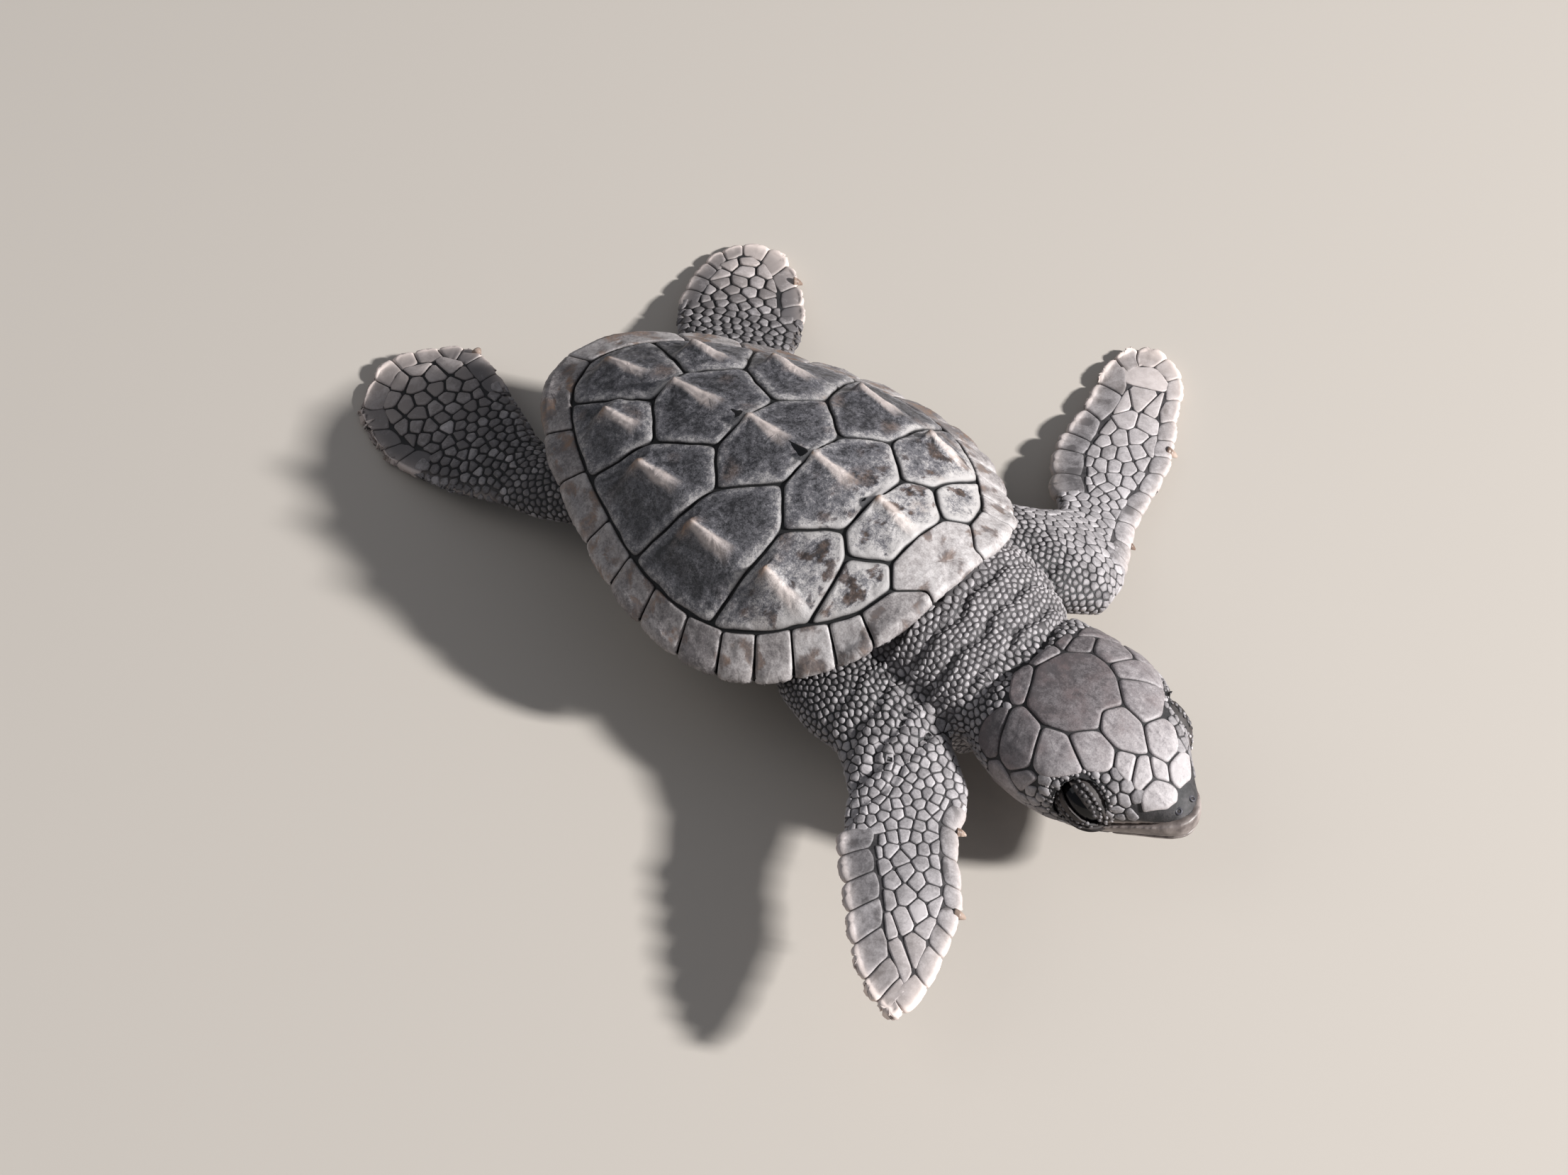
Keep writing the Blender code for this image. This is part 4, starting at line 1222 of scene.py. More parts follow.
# %% Finish hide and coats
def mark_hide(mesh):
    """Writes tone, rise, cream and stain on the hide from the fields of its own sites."""
    corner = corners_of(mesh)
    owner = np.repeat(np.arange(len(mesh.polygons)), [p.loop_total for p in mesh.polygons])
    shared = np.bincount(corner, minlength=len(mesh.vertices))
    fields = {"tone": tone_and_painted_shade + hide_tone + 0.12 * snout, "rise": np.ones(count), "cream": cream,
              "stain": np.zeros(count)}
    for mark, field in fields.items():
        values = np.bincount(corner, field[owner], len(mesh.vertices)) / np.maximum(shared, 1)
        mesh.attributes.new(mark, "FLOAT", "POINT").data.foreach_set(
            "value", values.astype(np.float32))


mark_hide(hide)
finish_piece("hide", hide, groove_hide, FLESH)
for coat in coats.values():
    finish_piece(coat.name, coat.mesh(), scale_keratin)
finish_piece("head_shields", shield_coat.mesh(), shield_keratin)
finish_piece("margin_plates", margin_coat.mesh(), scale_keratin)

# %% [markdown]
# The carapace is bone under horny scutes. Its form is three curves: the rim's half width and
# height from nape to tail, and the ridge along the midline. Between them the back rises like a
# squared dome. Each vertebral scute, and each costal but the small first one, also climbs
# rearward in a keel to a sharp peak.

# %% The back's form
RIM = [
    (16.8, 0.0, 17.0), (16.5, 3.2, 16.6), (15.9, 6.3, 15.7), (14.8, 9.2, 14.4),
    (13.0, 11.2, 12.8), (10.6, 13.4, 11.4), (8.0, 15.4, 10.4), (4.6, 17.0, 10.0),
    (0.4, 17.6, 10.0), (-4.6, 17.1, 10.3), (-9.2, 15.8, 10.7), (-14.0, 13.8, 11.2),
    (-19.8, 10.9, 11.7), (-24.8, 7.3, 11.9), (-27.8, 3.8, 11.8), (-29.2, 0.0, 11.6)]
RIDGE = [(16.8, 17.0), (12.5, 18.1), (7.5, 19.0), (0.0, 19.4), (-7.5, 18.6), (-16.0, 16.8),
         (-22.5, 14.5), (-29.2, 11.6)]
VERTEBRAL_KEELS = [(7.4, 0.0, 6.5), (0.2, 0.0, 7.0), (-7.4, 0.0, 7.2), (-16.0, 0.0, 8.0),
                   (-24.0, 0.0, 7.0)]
COSTAL_KEELS = [(4.2, 10.6, 6.5), (-4.0, 10.8, 7.0), (-12.2, 8.6, 7.0), (-19.0, 5.6, 6.0)]
KEEL_LEAN = 1.0            # mm: behind its peak a keel falls away in this length
VERTEBRAL_RISE, COSTAL_RISE = 1.15, 1.6
SHELL_MIDDLE = -5.0
SCUTE = 0.2                # mm from the bed of a scute up to its crown
BAND = 0.875               # where the marginals begin, as a share of the way to the rim
SEAM_STRAY = 0.16          # mm that the seams stray from their plan


def smooth_between(stations, x, column):
    """A column of the stations at x, through them all without overshoot (x falls along them)."""
    xs = [row[0] for row in stations]
    ys = [row[column] for row in stations]
    x = min(max(x, xs[-1]), xs[0])
    k = 0
    while k < len(xs) - 2 and x < xs[k + 1]:
        k += 1

    def slope(i):
        if i == 0 or i == len(xs) - 1:
            j = min(i, len(xs) - 2)
            return (ys[j + 1] - ys[j]) / (xs[j + 1] - xs[j])
        a = (ys[i] - ys[i - 1]) / (xs[i] - xs[i - 1])
        b = (ys[i + 1] - ys[i]) / (xs[i + 1] - xs[i])
        return 0.0 if a * b <= 0 else 2 * a * b / (a + b)

    step = xs[k + 1] - xs[k]
    t = (x - xs[k]) / step
    a, b = slope(k) * step, slope(k + 1) * step
    return ((2 * t**3 - 3 * t**2 + 1) * ys[k] + (t**3 - 2 * t**2 + t) * a
            + (3 * t**2 - 2 * t**3) * ys[k + 1] + (t**3 - t**2) * b)


def keel(x, y):
    """How much the keels add here, and how near it is to a crest."""
    added = crest = 0.0
    for peak_x, peak_y, length in VERTEBRAL_KEELS + COSTAL_KEELS:
        if abs(x - peak_x) > length or abs(abs(y) - peak_y) > 3:
            continue
        along, off = x - peak_x, abs(y) - peak_y
        rise = max(0.0, 1 - along / length if along > 0 else 1 + along / KEEL_LEAN)
        broad = max(0.0, 1 - math.hypot(off, 0.12) / 2.8)
        sharp = max(0.0, 1 - math.hypot(off, 0.1) / 0.9)
        tall = VERTEBRAL_RISE if peak_y == 0 else COSTAL_RISE
        added += tall * rise**1.1 * (0.6 * broad + 0.4 * sharp)
        if along > 0:
            facet = 0.12 + 0.1 * along
            wedge = held((facet + 0.25 - abs(off)) / 0.25)
            crest = max(crest, wedge * held((0.7 - along / length) / 0.25))
    return added, crest


def back(x, y):
    """Height of the back's outer face, keels included."""
    rim = smooth_between(RIM, x, 2)
    ridge = smooth_between(RIDGE, x, 1)
    share = min(abs(y) / max(smooth_between(RIM, x, 1), 1e-3), 1.0)
    return rim + (ridge - rim) * (1 - share**2.2) + keel(x, y)[0]


def slopes(height_at, x, y):
    """How steeply a height rises along x and along y."""
    return ((height_at(x + 0.05, y) - height_at(x - 0.05, y)) / 0.1,
            (height_at(x, y + 0.05) - height_at(x, y - 0.05)) / 0.1)


def band(rim_x, share, side, stations=RIM):
    """The point a share of the way from the shell's middle to its rim."""
    wide = smooth_between(stations, rim_x, 1)
    return SHELL_MIDDLE + (rim_x - SHELL_MIDDLE) * share, side * wide * share


def back_spot(x, y):
    """A point on the back and its normal, the seams' plan bent a little out of true."""
    x, y = (x + SEAM_STRAY * noise_at(x * 0.6, y * 0.6, 1.5),
            y + SEAM_STRAY * noise_at(x * 0.6, y * 0.6, 8.5))
    dx, dy = slopes(back, x, y)
    way = Vector((-dx, -dy, 1.0)).normalized()
    return Vector((x, y, back(x, y))) - way * SCUTE, way


SCUTE_STEPS = ((0.09, 0.5), (0.09, 0.7), (0.1, 0.85), (0.14, 0.95), (0.16, 1.0))
print("back at its middle", round(back(0, 0), 2), "mm high")

# %% [markdown]
# Five vertebral scutes run down the middle with five costals on each side, and the first pair of
# costals touches the nuchal, which is how a loggerhead is told from a green turtle. Scutes share
# their corners, given for half the shell and mirrored. A corner is named after the scutes that
# meet there: V12 lies between the first two vertebrals. Outer edges follow the band where the
# marginals begin.

# %% Scutes of the back
NAPE, NAPE_OUT = (12.0, 3.25), (13.5, 5.0)
V1_OUT, V12, V2_OUT, V23 = (9.0, 5.35), (7.05, 3.75), (3.0, 6.85), (0.0, 3.7)
V3_OUT, V34, V4_OUT, V45 = (-4.55, 7.0), (-7.55, 3.55), (-12.9, 5.85), (-16.45, 2.15)


def along_band(first, last, side):
    """Points of the band between two places on the rim, the ends included."""
    steps = max(2, int(abs(first - last) / 1.5))
    return [band(first + (last - first) * k / steps, BAND, side) for k in range(steps + 1)]


def mirrored(corners, side):
    """The left side's corners as they lie on a side: 1 left, -1 right."""
    return [(x, y * side) for x, y in corners]


def both(corners):
    """Half a midline scute's corners, closed by their mirror images."""
    return corners + [(x, -y) for x, y in reversed(corners) if abs(y) > 1e-6]


BACK_SCUTES = {
    "vertebral_1": both([NAPE, V1_OUT, V12]),
    "vertebral_2": both([V12, V2_OUT, V23]),
    "vertebral_3": both([V23, V3_OUT, V34]),
    "vertebral_4": both([V34, V4_OUT, V45]),
    "vertebral_5": both([V45] + along_band(-26.2, -29.2, 1)),
}
for side, word in ((1, "left"), (-1, "right")):
    ends = {"costal_1": ([V1_OUT, NAPE, NAPE_OUT], 15.0, 11.7),
            "costal_2": ([V2_OUT, V12, V1_OUT], 11.7, 3.4),
            "costal_3": ([V3_OUT, V23, V2_OUT], 3.4, -7.6),
            "costal_4": ([V4_OUT, V34, V3_OUT], -7.6, -17.6),
            "costal_5": ([V45, V4_OUT], -17.6, -26.2)}
    for name, (inner, first, last) in ends.items():
        BACK_SCUTES[f"{name}_{word}"] = mirrored(inner, side) + along_band(first, last, side)


def scute_relief(x, y):
    """Fine wrinkles and pits in the horn of the back, in mm."""
    spot = Vector((x, y, 0.0))
    return (0.09 * noise.fractal(spot * 0.7, 0.7, 2.2, 5)
            + 0.035 * noise_at(x * 0.9, y * 3.4, 5.0)
            + 0.03 * noise.noise(spot * 3.1))


def border_gap(corners, x, y):
    """How far inside a scute's outline a point lies."""
    best = FAR
    for (ax, ay), (bx, by) in zip(corners, corners[1:] + corners[:1]):
        dx, dy = bx - ax, by - ay
        share = held(((x - ax) * dx + (y - ay) * dy) / (dx * dx + dy * dy + 1e-9))
        best = min(best, math.hypot(x - ax - dx * share, y - ay - dy * share))
    return best


def dark_left(x, y):
    """1 where the first dark horn has not yet flaked off, else 0, with ragged borders."""
    ragged = noise.fractal(Vector((x * 0.5, y * 0.5, 6.0)), 0.8, 2.2, 6)
    return held((ragged - 0.26) / 0.12)


def scute_marks(corners):
    """Marks of one scute: pale forward, streaked from its peak, rusty at it, pale down its keel."""
    low, high = min(x for x, _ in corners), max(x for x, _ in corners)
    heart = (low + high) / 2, sum(y for _, y in corners) / len(corners)
    side = 1 if heart[1] >= 0 else -1
    peak_x, peak_y = min(((px, py * side) for px, py, _ in VERTEBRAL_KEELS + COSTAL_KEELS),
                         key=lambda spot: math.dist(spot, heart))

    def marks(x, y):
        lifted, crest = keel(x, y)
        forward = (x - low) / (high - low)
        edge = min(border_gap(corners, x, y) / 1.3, 1.0)
        reach = math.hypot(x - peak_x, y - peak_y)
        turn = math.atan2(y - peak_y, x - peak_x)
        streak = noise_at(math.cos(turn) * 5, math.sin(turn) * 5, reach * 0.35)
        patchy = noise_at(x * 0.35, y * 0.35, 9.0)
        worn = dark_left(x, y) * held((x - 1) / 7)
        pale = 0.32 * held((x - 1) / 9)
        return {"cream": 0.55 * crest * min(1.0, reach / 0.5) * min(1.0, edge * 2),
                "stain": 1.5 * math.exp(-((reach / 0.5) ** 2)) + max(0.0, 1.2 * (patchy - 0.35))
                + 0.45 * worn,
                "tone": 0.12 * (forward - 0.5) + 0.14 * streak + 0.2 * (1 - edge)
                - 0.14 * edge + 0.15 * lifted + pale - 0.42 * worn}
    return marks


back_coat = Coat("scutes_back")
for number, (name, corners) in enumerate(BACK_SCUTES.items()):
    tone = float(rng.normal(0.0, 0.03))
    plate(back_coat, corners, back_spot, SCUTE, groove=0.22, soften=6, pitch=0.26, rings=18,
          relief=scute_relief, marks=scute_marks(corners), steps=SCUTE_STEPS,
          root=Vector((0.04 + 0.05 * number, 0.02)), tone=tone)
finish_piece("scutes_back", back_coat.mesh(), scute_keratin)

# %% [markdown]
# The nuchal and twelve marginals a side frame the back. Each marginal is bent over the rim, so it
# is drawn flat, by how far along the rim and how far across the band, and then wrapped over the
# edge and under it.

# %% Marginals
MARGINAL_ENDS = [15.0, 13.0, 10.4, 7.7, 4.7, 0.8, -3.9, -8.3, -12.8, -18.8, -23.6, -29.2]
rim_xs = np.linspace(16.8, -29.2, 600)
rim_ys = np.array([smooth_between(RIM, x, 1) for x in rim_xs])
rim_run = np.concatenate([[0], np.cumsum(np.hypot(np.diff(rim_xs), np.diff(rim_ys)))])


def rim_mm(x):
    """How far round the rim from the nape this x lies."""
    return float(np.interp(-x, -rim_xs, rim_run))


ACROSS = (-2.8, 0.0, 3.1, 3.4, 3.75, 4.1, 5.6)        # mm across the band and under it
SHARES = (0.776, BAND, 0.985, 1.0, 1.004, 0.99, 0.9)  # of the way out at each
DROPS = (0.0, 0.0, 0.0, -0.18, -0.5, -0.8, -0.95)     # from the plain dome's height


def rim_raw(run, across):
    """A point of the shell's border: run is mm from the nape, plus to the left."""
    share = float(np.interp(across, ACROSS, SHARES))
    rim_x = float(np.interp(abs(run), rim_run, rim_xs))
    side = 1 if run >= 0 else -1
    x, y = band(rim_x, share, side)
    inner_x, inner_y = band(rim_x, min(share, 0.999), side)
    return Vector((x, y, back(inner_x, inner_y) + float(np.interp(across, ACROSS, DROPS))))


def rim_spot(run, across):
    """A point of the shell's border and its outward normal."""
    forth = rim_raw(run + 0.06, across) - rim_raw(run - 0.06, across)
    out = rim_raw(run, across + 0.06) - rim_raw(run, across - 0.06)
    way = out.cross(forth).normalized()
    return rim_raw(run, across) - way * SCUTE, way


def to_rim(x, y):
    """How far round and across the border a point of the front of the back lies."""
    front = rim_xs > 2
    rim_x = float(np.interp(y / (x - SHELL_MIDDLE), rim_ys[front]
                            / (rim_xs[front] - SHELL_MIDDLE), rim_xs[front]))
    share = (x - SHELL_MIDDLE) / (rim_x - SHELL_MIDDLE)
    return rim_mm(rim_x), float(np.interp(share, SHARES[:4], ACROSS[:4]))


def rim_marks(x, y):
    """Marks of the border: ragged rusty patches, fewer near the nape, which is paler."""
    patchy = noise.fractal(Vector((x * 0.4, y * 0.5, 3.0)), 0.9, 2.2, 5)
    near_nape = held((24 - abs(x)) / 8)
    ragged = held((patchy - 0.12 - 0.12 * near_nape) / 0.14)
    return {"stain": ragged * (1.0 - 0.5 * near_nape), "cream": 0.04,
            "tone": 0.16 * noise_at(x * 0.8, y * 0.4, 7.0) - 0.08
            + 0.14 * near_nape - (0.14 + 0.2 * near_nape) * ragged}


def rim_relief(x, y):
    """Fine roughness of the border's horn, in mm."""
    return 0.05 * noise.fractal(Vector((x, y, 2.0)), 0.6, 2.2, 3)


RIM_LOOK = {"groove": 0.14, "soften": 2}
rim_coat = Coat("scutes_rim")
nape, nape_out = to_rim(*NAPE), to_rim(*NAPE_OUT)
nuchal_end = rim_mm(16.5)
half_nuchal = [to_rim(NAPE[0], NAPE[1] * share) for share in (0.03, 0.25, 0.5, 0.75)]
half_nuchal += [nape, to_rim((NAPE[0] + NAPE_OUT[0]) / 2, (NAPE[1] + NAPE_OUT[1]) / 2), nape_out,
                (nuchal_end, 2.4), (nuchal_end, 5.4)]
plate(rim_coat, half_nuchal + [(-run, across) for run, across in reversed(half_nuchal)], rim_spot,
      SCUTE, rings=12, relief=rim_relief, marks=rim_marks, root=Vector((0.9, 0.1)), tone=0.06,
      **RIM_LOOK)
for side in (1, -1):
    starts = [16.5] + MARGINAL_ENDS[:-1]
    for number, (first, last) in enumerate(zip(starts, MARGINAL_ENDS)):
        low, high = rim_mm(first), rim_mm(last)
        middle, half = (low + high) / 2, (high - low) / 2
        corners = [(low, 0.0), (high, 0.0), (high, 5.4), (low, 5.4)]
        if number == 0:
            corners = [nape_out, (high, 0.0), (high, 5.4), (low, 5.4), (low, 2.4)]

        def bulging(x, y):
            off = min(abs(abs(x) - middle) / half, 1.0)
            return rim_relief(x, y) + 0.3 * (1 - off**2) * math.exp(-(((y - 3.4) / 1.0) ** 2))

        def edged(x, y):
            off = min(abs(abs(x) - middle) / half, 1.0)
            marks = rim_marks(x, y)
            marks["tone"] += 0.14 * off**3
            marks["stain"] *= 1 - off**4
            return marks

        plate(rim_coat, [(run * side, across) for run, across in corners], rim_spot, SCUTE,
              rings=8, relief=bulging, marks=edged, tone=float(rng.normal(0.0, 0.07)),
              root=Vector((0.04 + 0.05 * number, 0.06 + 0.03 * side)), **RIM_LOOK)
finish_piece("scutes_rim", rim_coat.mesh(), rim_keratin)


def finish_bed(name, solid, shrink):
    """The bone under the horn, seen in its grooves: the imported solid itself, a little smaller."""
    finish_piece(name, as_mesh(solid_copy(solid, -shrink), name), groove_hide, [solid])


finish_bed("shell_bed", "carapace", 0.3)

# %% [markdown]
# Under the body the plastron lies flat on the floor and climbs at the sides into the bridges. Six
# pairs of plates meet on the midline, with a row of small ones on each bridge.

# %% Plastron plates
PLASTRON_RIM = [
    (13.2, 0.0, 4.0), (12.7, 3.8, 4.0), (11.0, 6.9, 4.3), (8.4, 9.6, 5.4), (5.8, 12.6, 7.8),
    (2.8, 14.8, 9.4), (-2.0, 15.4, 9.7), (-6.6, 14.6, 9.5), (-9.6, 12.0, 7.8), (-12.6, 9.2, 5.2),
    (-16.5, 7.2, 3.8), (-20.0, 4.8, 3.2), (-22.8, 0.0, 3.2)]
edge_xs = np.linspace(13.2, -22.8, 400)
edge_ys = np.array([smooth_between(PLASTRON_RIM, x, 1) for x in edge_xs])
edge_turn = np.arctan2(edge_ys, edge_xs - SHELL_MIDDLE)
edge_reach = np.hypot(edge_ys, edge_xs - SHELL_MIDDLE)


def plastron_height(x, y):
    """Height of the belly's outer face: flat in the middle, climbing to its edge."""
    turn = math.atan2(abs(y), x - SHELL_MIDDLE)
    reach = float(np.interp(turn, edge_turn, edge_reach))
    rim_x = SHELL_MIDDLE + reach * math.cos(turn)
    share = math.hypot(x - SHELL_MIDDLE, y) / reach
    climb = max(0.0, (share - 0.55) / 0.45) ** 1.7
    return smooth_between(PLASTRON_RIM, rim_x, 2) * climb


def belly_spot(x, y):
    """A point on the belly and its outward, downward normal."""
    dx, dy = slopes(plastron_height, x, y)
    way = Vector((dx, dy, -1.0)).normalized()
    return Vector((x, y, plastron_height(x, y))) - way * SCUTE, way


def belly_line(first, last, steps, share_at, side):
    """Points across the belly between two places on its edge, share_at(x) of the way out."""
    xs = [first + (last - first) * k / steps for k in range(steps + 1)]
    return [band(x, share_at(x), side, PLASTRON_RIM) for x in xs]


belly_coat = Coat("plastron_plates")
BELLY_SEAMS = [13.2, 10.6, 7.0, 1.5, -5.5, -12.0, -22.8]
BRIDGE_SEAMS = [6.4, 2.6, -1.2, -5.0, -9.0]
BELLY_OUT = 0.98                                # shares of the way out to the plastron's edge
BRIDGE_IN, BRIDGE_OUT = 0.735, 0.985


def bridge_line(x):
    """Share of the way out where the belly plates end: less beside the bridges."""
    return BELLY_OUT - 0.26 * math.exp(-(((x + 1.0) / 7.5) ** 4))


for side in (1, -1):
    for number, (first, last) in enumerate(zip(BELLY_SEAMS, BELLY_SEAMS[1:])):
        outer = belly_line(first, last, 6, bridge_line, side)
        low, high = outer[0][0], outer[-1][0]
        if number == 0:
            low = SHELL_MIDDLE + (first - SHELL_MIDDLE) * BELLY_OUT
        if number == 5:
            high = SHELL_MIDDLE + (last - SHELL_MIDDLE) * BELLY_OUT
        corners = [(high, 0.0), (low, 0.0)] + outer
        apart = [c for k, c in enumerate(corners) if math.dist(c, corners[k - 1]) > 0.05]
        plate(belly_coat, apart, belly_spot, SCUTE, groove=0.24, pitch=0.45,
              root=Vector((0.04 + 0.05 * number, 0.2 + 0.03 * side)),
              tone=float(rng.normal(0.0, 0.04)))
    for first, last in zip(BRIDGE_SEAMS, BRIDGE_SEAMS[1:]):
        inner = belly_line(first, last, 3, lambda x: BRIDGE_IN, side)
        outer = belly_line(first, last, 3, lambda x: BRIDGE_OUT, side)
        plate(belly_coat, inner + outer[::-1], belly_spot, SCUTE, groove=0.22, pitch=0.4, rings=7,
              root=Vector((0.5, 0.2 + 0.03 * side)), tone=float(rng.normal(0.0, 0.04)))
finish_piece("plastron_plates", belly_coat.mesh(), belly_keratin)
finish_bed("plastron_bed", "plastron", 0.25)

# %% [markdown]
# Each eye is a ball set in its socket, with an upper and a lower lid: shells cut from a slightly
# larger ball and given a thickness. The opening between them slants down and forward.

# %% Eyes and lids
EYE_BALL = 1.8             # mm
EYE_LONG = 0.26            # how much longer an eye is along its slit, as a share
LID_LONG = 0.3             # the same for the lids round it
LID_THICK = 0.22           # mm
LID_GAP, FOLD_STEP = 0.06, 0.16                 # mm from the ball out to a fold, and fold to fold
UPPER_GAPE, LOWER_GAPE, FOLD_TURN = 23, 14, 23  # degrees from the slit to each fold's lip
lid_skin = horn("lid_skin", "#191514", "#403734", 0.68)


def eye_ways(side):
    """The way an eye looks out, the way its slit runs down and forward, and across that."""
    out = Vector((0.2, side, 0.42)).normalized()
    slit = Vector((0.84, 0.0, -0.54))
    slit = (slit - out * slit.dot(out)).normalized()
    up = out.cross(slit)
    return out, slit, up if up.z > 0 else -up


def eyelid(middle, side, upper, fold):
    """One fold of a lid: a stretched ball's shell on one side of the slit, with a soft lip."""
    out, slit, up = eye_ways(side)
    if not upper:
        up = -up
    gape = math.radians((UPPER_GAPE if upper else LOWER_GAPE) + FOLD_TURN * fold)
    keep = up * math.cos(gape) - out * math.sin(gape)
    bm = bmesh.new()
    bmesh.ops.create_uvsphere(bm, u_segments=40, v_segments=28,
                              radius=EYE_BALL + LID_GAP + FOLD_STEP * fold)
    for way, reach in ((-keep, 0.0), (-out, 0.9)):
        bmesh.ops.bisect_plane(bm, geom=bm.verts[:] + bm.edges[:] + bm.faces[:],
                               plane_co=way * reach, plane_no=way, clear_outer=True)
    outer = bmesh.ops.extrude_face_region(bm, geom=bm.faces[:], use_keep_orig=True)["geom"]
    thick = 1 + LID_THICK / EYE_BALL
    bmesh.ops.scale(bm, vec=(thick, thick, thick), verts=only(bmesh.types.BMVert, outer))
    bmesh.ops.recalc_face_normals(bm, faces=bm.faces[:])
    lip = [edge for edge in bm.edges if edge.is_manifold and edge.calc_face_angle() > 0.9]
    bmesh.ops.bevel(bm, geom=lip, offset=0.09, offset_type="OFFSET", segments=3, profile=0.5,
                    affect="EDGES", material=-1)
    for vert in bm.verts:
        along = vert.co.dot(slit)
        vert.co += slit * along * LID_LONG
        vert.co += out * (0.04 * noise.noise(vert.co * 2.2) + 0.02 * math.sin(along * 9 + fold))
    bmesh.ops.translate(bm, verts=bm.verts[:], vec=middle - out * 0.4)
    return bm


for side, word in ((1, "left"), (-1, "right")):
    middle = Vector(eyes[0] if side == 1 else eyes[1])
    ball = bmesh.new()
    bmesh.ops.create_uvsphere(ball, u_segments=48, v_segments=32, radius=EYE_BALL)
    slit = eye_ways(side)[1]
    for vert in ball.verts:
        vert.co += slit * vert.co.dot(slit) * EYE_LONG
    bmesh.ops.translate(ball, verts=ball.verts[:], vec=middle - Vector((0.08, side * 0.36, 0.15)))
    finish_piece(f"eye_ball_{word}", as_mesh(ball, "eye"), eye_wet, [f"eye_{word}"])
    for upper, label in ((True, "upper"), (False, "lower")):
        for fold in (0, 1, 2):
            finish_piece(f"lid_{label}_{word}_{fold + 1}",
                         as_mesh(eyelid(middle, side, upper, fold), "lid"), lid_skin)

# %% [markdown]
# The lids' skin is beaded too. Rings of tiny scales run round each eye, dark at the slit, partly
# their own colour and partly painted shade of the eye's socket, and paler out where they meet the
# brow, each laid on whatever lies straight under it.

# %% Beads of the lids
LID_RINGS = (              # half the length and breadth of a ring in mm, and how pale it is
    (1.95, 1.25, -0.42), (2.35, 1.7, -0.3), (2.75, 2.15, -0.12), (3.1, 2.6, 0.0))
BEAD_PITCH = 0.42          # mm from bead to bead
lid_coat = Coat("scales_lids")
for side, word in ((1, "left"), (-1, "right")):
    middle = Vector(eyes[0] if side == 1 else eyes[1])
    out, slit, up = eye_ways(side)
    under = bmesh.new()
    for each in [o for o in bpy.data.objects if o.name.startswith("lid_") and word in o.name]:
        under.from_mesh(each.data)
    bmesh.ops.transform(under, matrix=TO_MM, verts=under.verts[:])
    under_tree = BVHTree.FromBMesh(under)
    under.free()
    for ring, (long, short, pale) in enumerate(LID_RINGS):
        beads = int(2 * math.pi * (long + short) / 2 / BEAD_PITCH)
        for k in range(beads):
            turn = (k + 0.5 * (ring % 2) + float(rng.normal(0, 0.12))) * 2 * math.pi / beads
            from_slit = slit * math.cos(turn) * long + up * math.sin(turn) * short
            start = middle - out * 0.4 + from_slit + out * 3.2
            hits = [hit for hit in (under_tree.ray_cast(start, -out, 4.2),
                                    hide_tree.ray_cast(start, -out, 4.2)) if hit[0] is not None]
            if not hits:
                continue
            spot, way = min(hits, key=lambda hit: (hit[0] - start).length)[:2]
            if way.dot(out) < 0.25 or spot.z < mouth_height(spot.x) + 1.6:
                continue
            points, levels, faces, _ = scale_shape([], float(rng.uniform(0.15, 0.21)), 0.0, 0.0,
                                                   [0.06])
            along = (slit - way * slit.dot(way)).normalized()
            aside = way.cross(along)
            lifts = [0.1 * BEAD_LIFTS[level] if level else -0.08 for level in levels]
            laid = [spot + along * p.x * 1.15 + aside * p.y + way * lift
                    for p, lift in zip(points, lifts)]
            tone = pale + (0.1 if math.sin(turn) > 0 else -0.06)
            if rng.random() < 0.14:
                tone += 0.35                          # a painted glint: a pale bead like sun caught on the lids
            lid_coat.take(laid, faces, patch(chart_place(spot), points, 0.2),
                          rise=[BEAD_RISES[level] for level in levels], tone=tone)
finish_piece("scales_lids", lid_coat.mesh(), scale_keratin)
print("lids", len(lid_coat.faces), "faces")

# %% [markdown]
# The nostrils are two pinholes at the tip of the snout, each in a low soft ring; the hole itself is
# a flat dark disc of painted shade.

# %% Nostrils
def facing(spot, way):
    """The placing that moves the origin to a spot and turns z along a way."""
    return Matrix.Translation(spot) @ way.to_track_quat("Z", "Y").to_matrix().to_4x4()


nostril_rim = horn("nostril_rim", "#35333a", "#4b4951", 0.5)
for turn, word in ((22, "left"), (-26, "right")):
    spot, way = head_spot(42.9, turn * DEGREE_MM)
    ring = bmesh.new()
    bmesh.ops.create_circle(ring, radius=0.1, segments=10, matrix=Matrix.Translation((0.23, 0, 0))
                            @ Matrix.Rotation(math.pi / 2, 4, "X"))
    bmesh.ops.spin(ring, geom=ring.verts[:] + ring.edges[:], cent=(0, 0, 0), axis=(0, 0, 1),
                   angle=2 * math.pi, steps=22, use_merge=True)
    bmesh.ops.recalc_face_normals(ring, faces=ring.faces[:])
    bmesh.ops.transform(ring, matrix=facing(spot, way), verts=ring.verts[:])
    finish_piece(f"nostril_rim_{word}", as_mesh(ring, "nostril"), nostril_rim)
    nostril_hole_shade = bmesh.new()
    bmesh.ops.create_uvsphere(nostril_hole_shade, u_segments=16, v_segments=10, radius=0.2)
    bmesh.ops.scale(nostril_hole_shade, vec=(1, 1, 0.25), verts=nostril_hole_shade.verts[:])
    bmesh.ops.transform(nostril_hole_shade, matrix=facing(spot, way), verts=nostril_hole_shade.verts[:])
    finish_piece(f"nostril_{word}", as_mesh(nostril_hole_shade, "nostril"), lid_skin)

# %% [markdown]
# The beak is a sheath of horn over the jaw bones. Each of its two solids is remeshed finely and
# smoothed, which rounds its cut edges the way worn horn is.

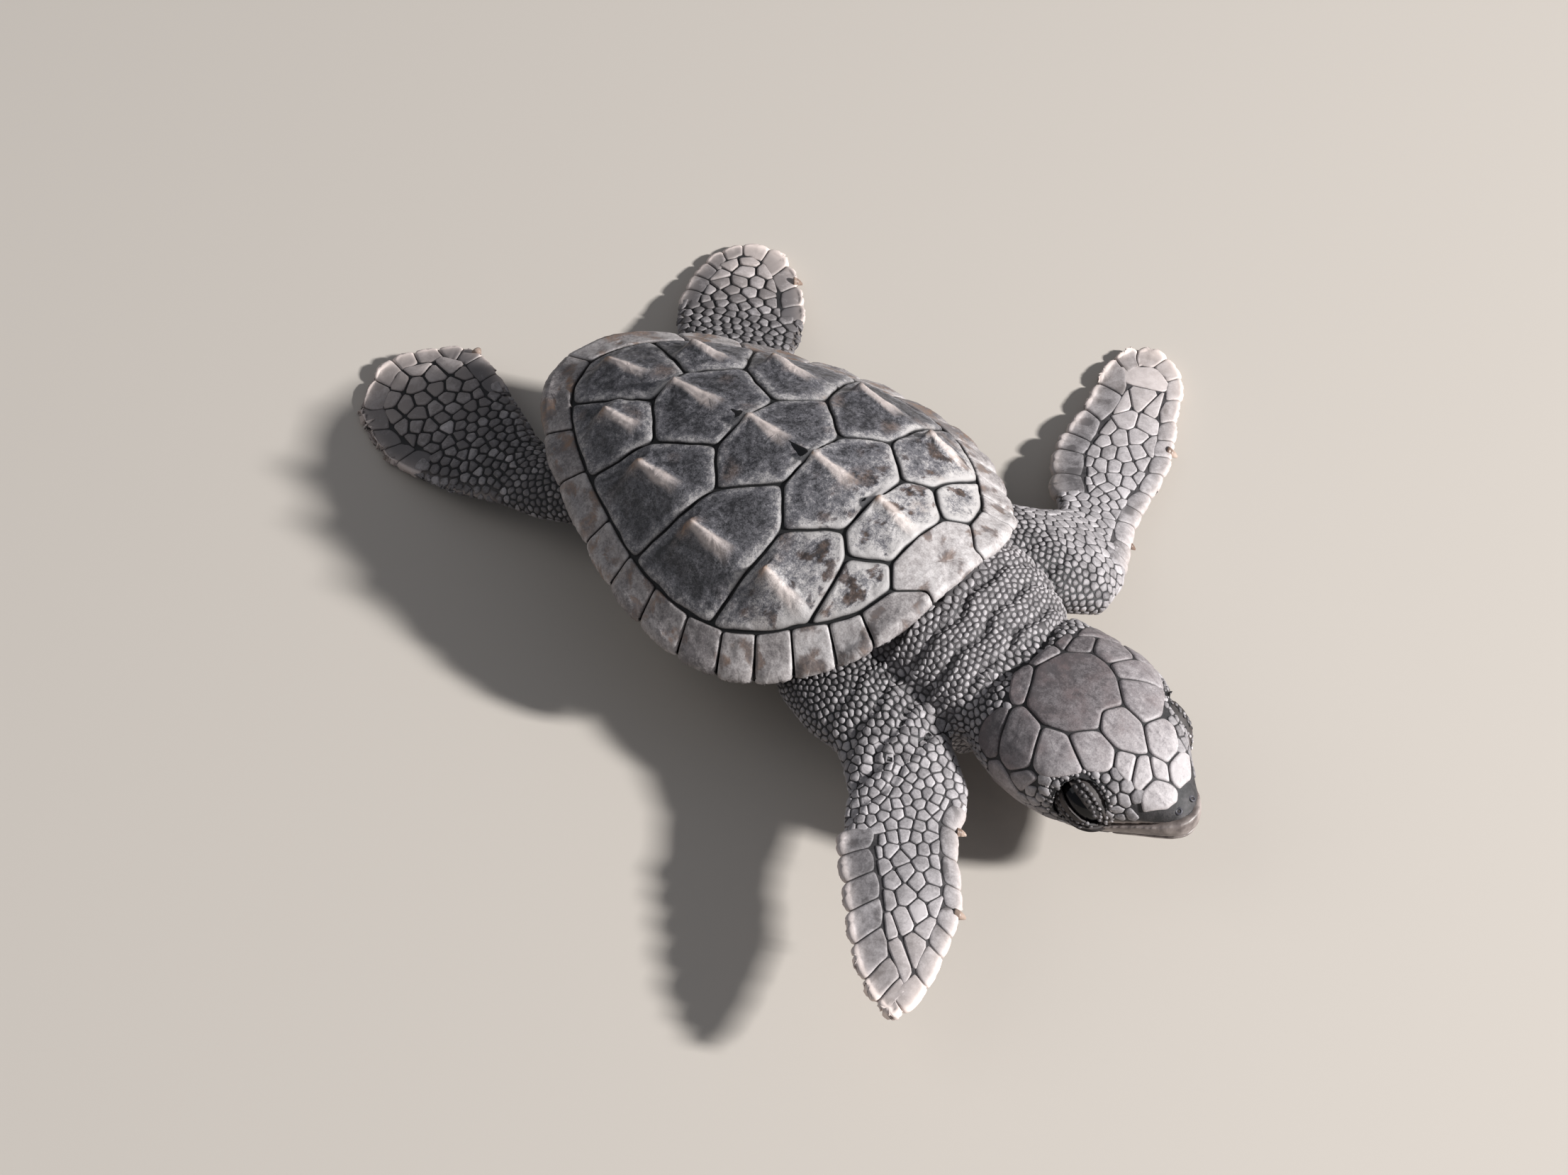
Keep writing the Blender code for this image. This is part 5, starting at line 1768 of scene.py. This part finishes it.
# %% Beak
for name in ("beak_upper", "beak_lower"):
    finish_piece(name + "_horn", remeshed(solid_copy(name, 0.03), 0.16, 8, name), beak_horn,
                 [name])

# %% [markdown]
# A hatchling's claws are small curved spurs on the leading edge. A claw is a circle drawn out in
# steps that shrink and bend toward the tip. Each row holds its root, its tip and its radius.

# %% Claws
CLAWS = {
    "claw_front_right_1": (35.4, -21.7, 8.8, 36.8, -20.8, 8.7, 0.5),
    "claw_front_right_2": (30.2, -15.3, 8.8, 31.2, -14.5, 8.7, 0.4),
    "claw_front_left_1": (12.4, 34.8, 1.25, 14.0, 35.5, 1.1, 0.5),
    "claw_front_left_2": (17.8, 22.3, 3.1, 19.0, 22.8, 3.0, 0.4),
    "claw_rear_right_1": (-41.8, 0.7, 2.8, -42.6, 2.1, 2.75, 0.45),
    "claw_rear_left_1": (-27.4, 28.5, 1.0, -26.4, 29.5, 0.85, 0.45),
}
CLAW_ROOT = 0.3            # mm from the margin in to a claw's root
CLAW_LENGTH = 0.5          # of the way from root to tip: what stands out, worn short
CLAW_STEPS = 7
for name, row in CLAWS.items():
    root, tip, radius = Vector(row[:3]), Vector(row[3:6]), row[6]
    root -= (tip - root).normalized() * CLAW_ROOT
    way = (tip - root) * CLAW_LENGTH
    bm = bmesh.new()
    bmesh.ops.create_circle(bm, cap_ends=True, radius=radius, segments=14,
                            matrix=facing(root, way))
    cap = bm.faces[:][0]
    for k in range(CLAW_STEPS):
        grown = bmesh.ops.extrude_face_region(bm, geom=[cap])["geom"]
        cap = only(bmesh.types.BMFace, grown)[0]
        ring = list(cap.verts)
        droop = Vector((0, 0, -0.05 * k))
        bmesh.ops.translate(bm, verts=ring, vec=way / CLAW_STEPS + droop * 0.3)
        keep = math.sqrt((CLAW_STEPS - k - 0.75) / (CLAW_STEPS - k + 0.25))
        bmesh.ops.scale(bm, vec=(keep, keep, keep), verts=ring,
                        space=Matrix.Translation(-cap.calc_center_median()))
    bmesh.ops.recalc_face_normals(bm, faces=bm.faces[:])
    finish_piece(name + "_horn", as_mesh(bm, name), claw_horn, [name])

# %% [markdown]
# A plain pale floor stands in for the shore. A small key light at the turtle's front left, like a
# low sun, throws its shadow back past the tail, and a weak fill keeps the grooves readable.

# %% Floor, light and camera
floor_bm = bmesh.new()
bmesh.ops.create_grid(floor_bm, x_segments=1, y_segments=1, size=1.5)
floor = bpy.data.objects.new("floor", as_mesh(floor_bm, "floor"))
bpy.context.scene.collection.objects.link(floor)
paper, _, shader = new_finish("pale_paper")
shader.inputs["Base Color"].default_value = linear("#bfb7ae")
shader.inputs["Roughness"].default_value = 0.85
floor.data.materials.append(paper)

world = bpy.data.worlds.new("studio")
world.use_nodes = True
sky = world.node_tree.nodes["Background"].inputs
sky["Color"].default_value = linear("#e6ecf7")
sky["Strength"].default_value = 0.22
bpy.context.scene.world = world


def lamp(name, spot, aim, watts, size):
    """A square soft light at a spot, turned to its aim."""
    light = bpy.data.lights.new(name, "AREA")
    light.energy = watts
    light.size = size
    made = bpy.data.objects.new(name, light)
    made.location = spot
    made.rotation_euler = (Vector(aim) - Vector(spot)).to_track_quat("-Z", "Y").to_euler()
    bpy.context.scene.collection.objects.link(made)


lamp("key", (0.80, 0.40, 0.50), (0, 0, 0.01), 21.5, 0.08)
lamp("fill", (-0.3, -0.35, 0.5), (0, 0, 0.01), 0.5, 0.5)

camera = bpy.data.objects.new("camera", bpy.data.cameras.new("camera"))
camera.location = (0.156425, -0.17855, 0.2689)
camera.rotation_euler = (math.radians(40.99), 0.0, math.radians(42.32))
camera.data.sensor_width = 36.0
camera.data.lens = 92.81
camera.data.clip_start = 0.01
bpy.context.scene.collection.objects.link(camera)
bpy.context.scene.camera = camera
bpy.context.scene.view_settings.view_transform = "Standard"

# %% Measure and finish
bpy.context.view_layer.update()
total = 0
for piece in PIECES:
    piece.data.calc_loop_triangles()
    total += len(piece.data.loop_triangles)
print(total, "triangles in all")
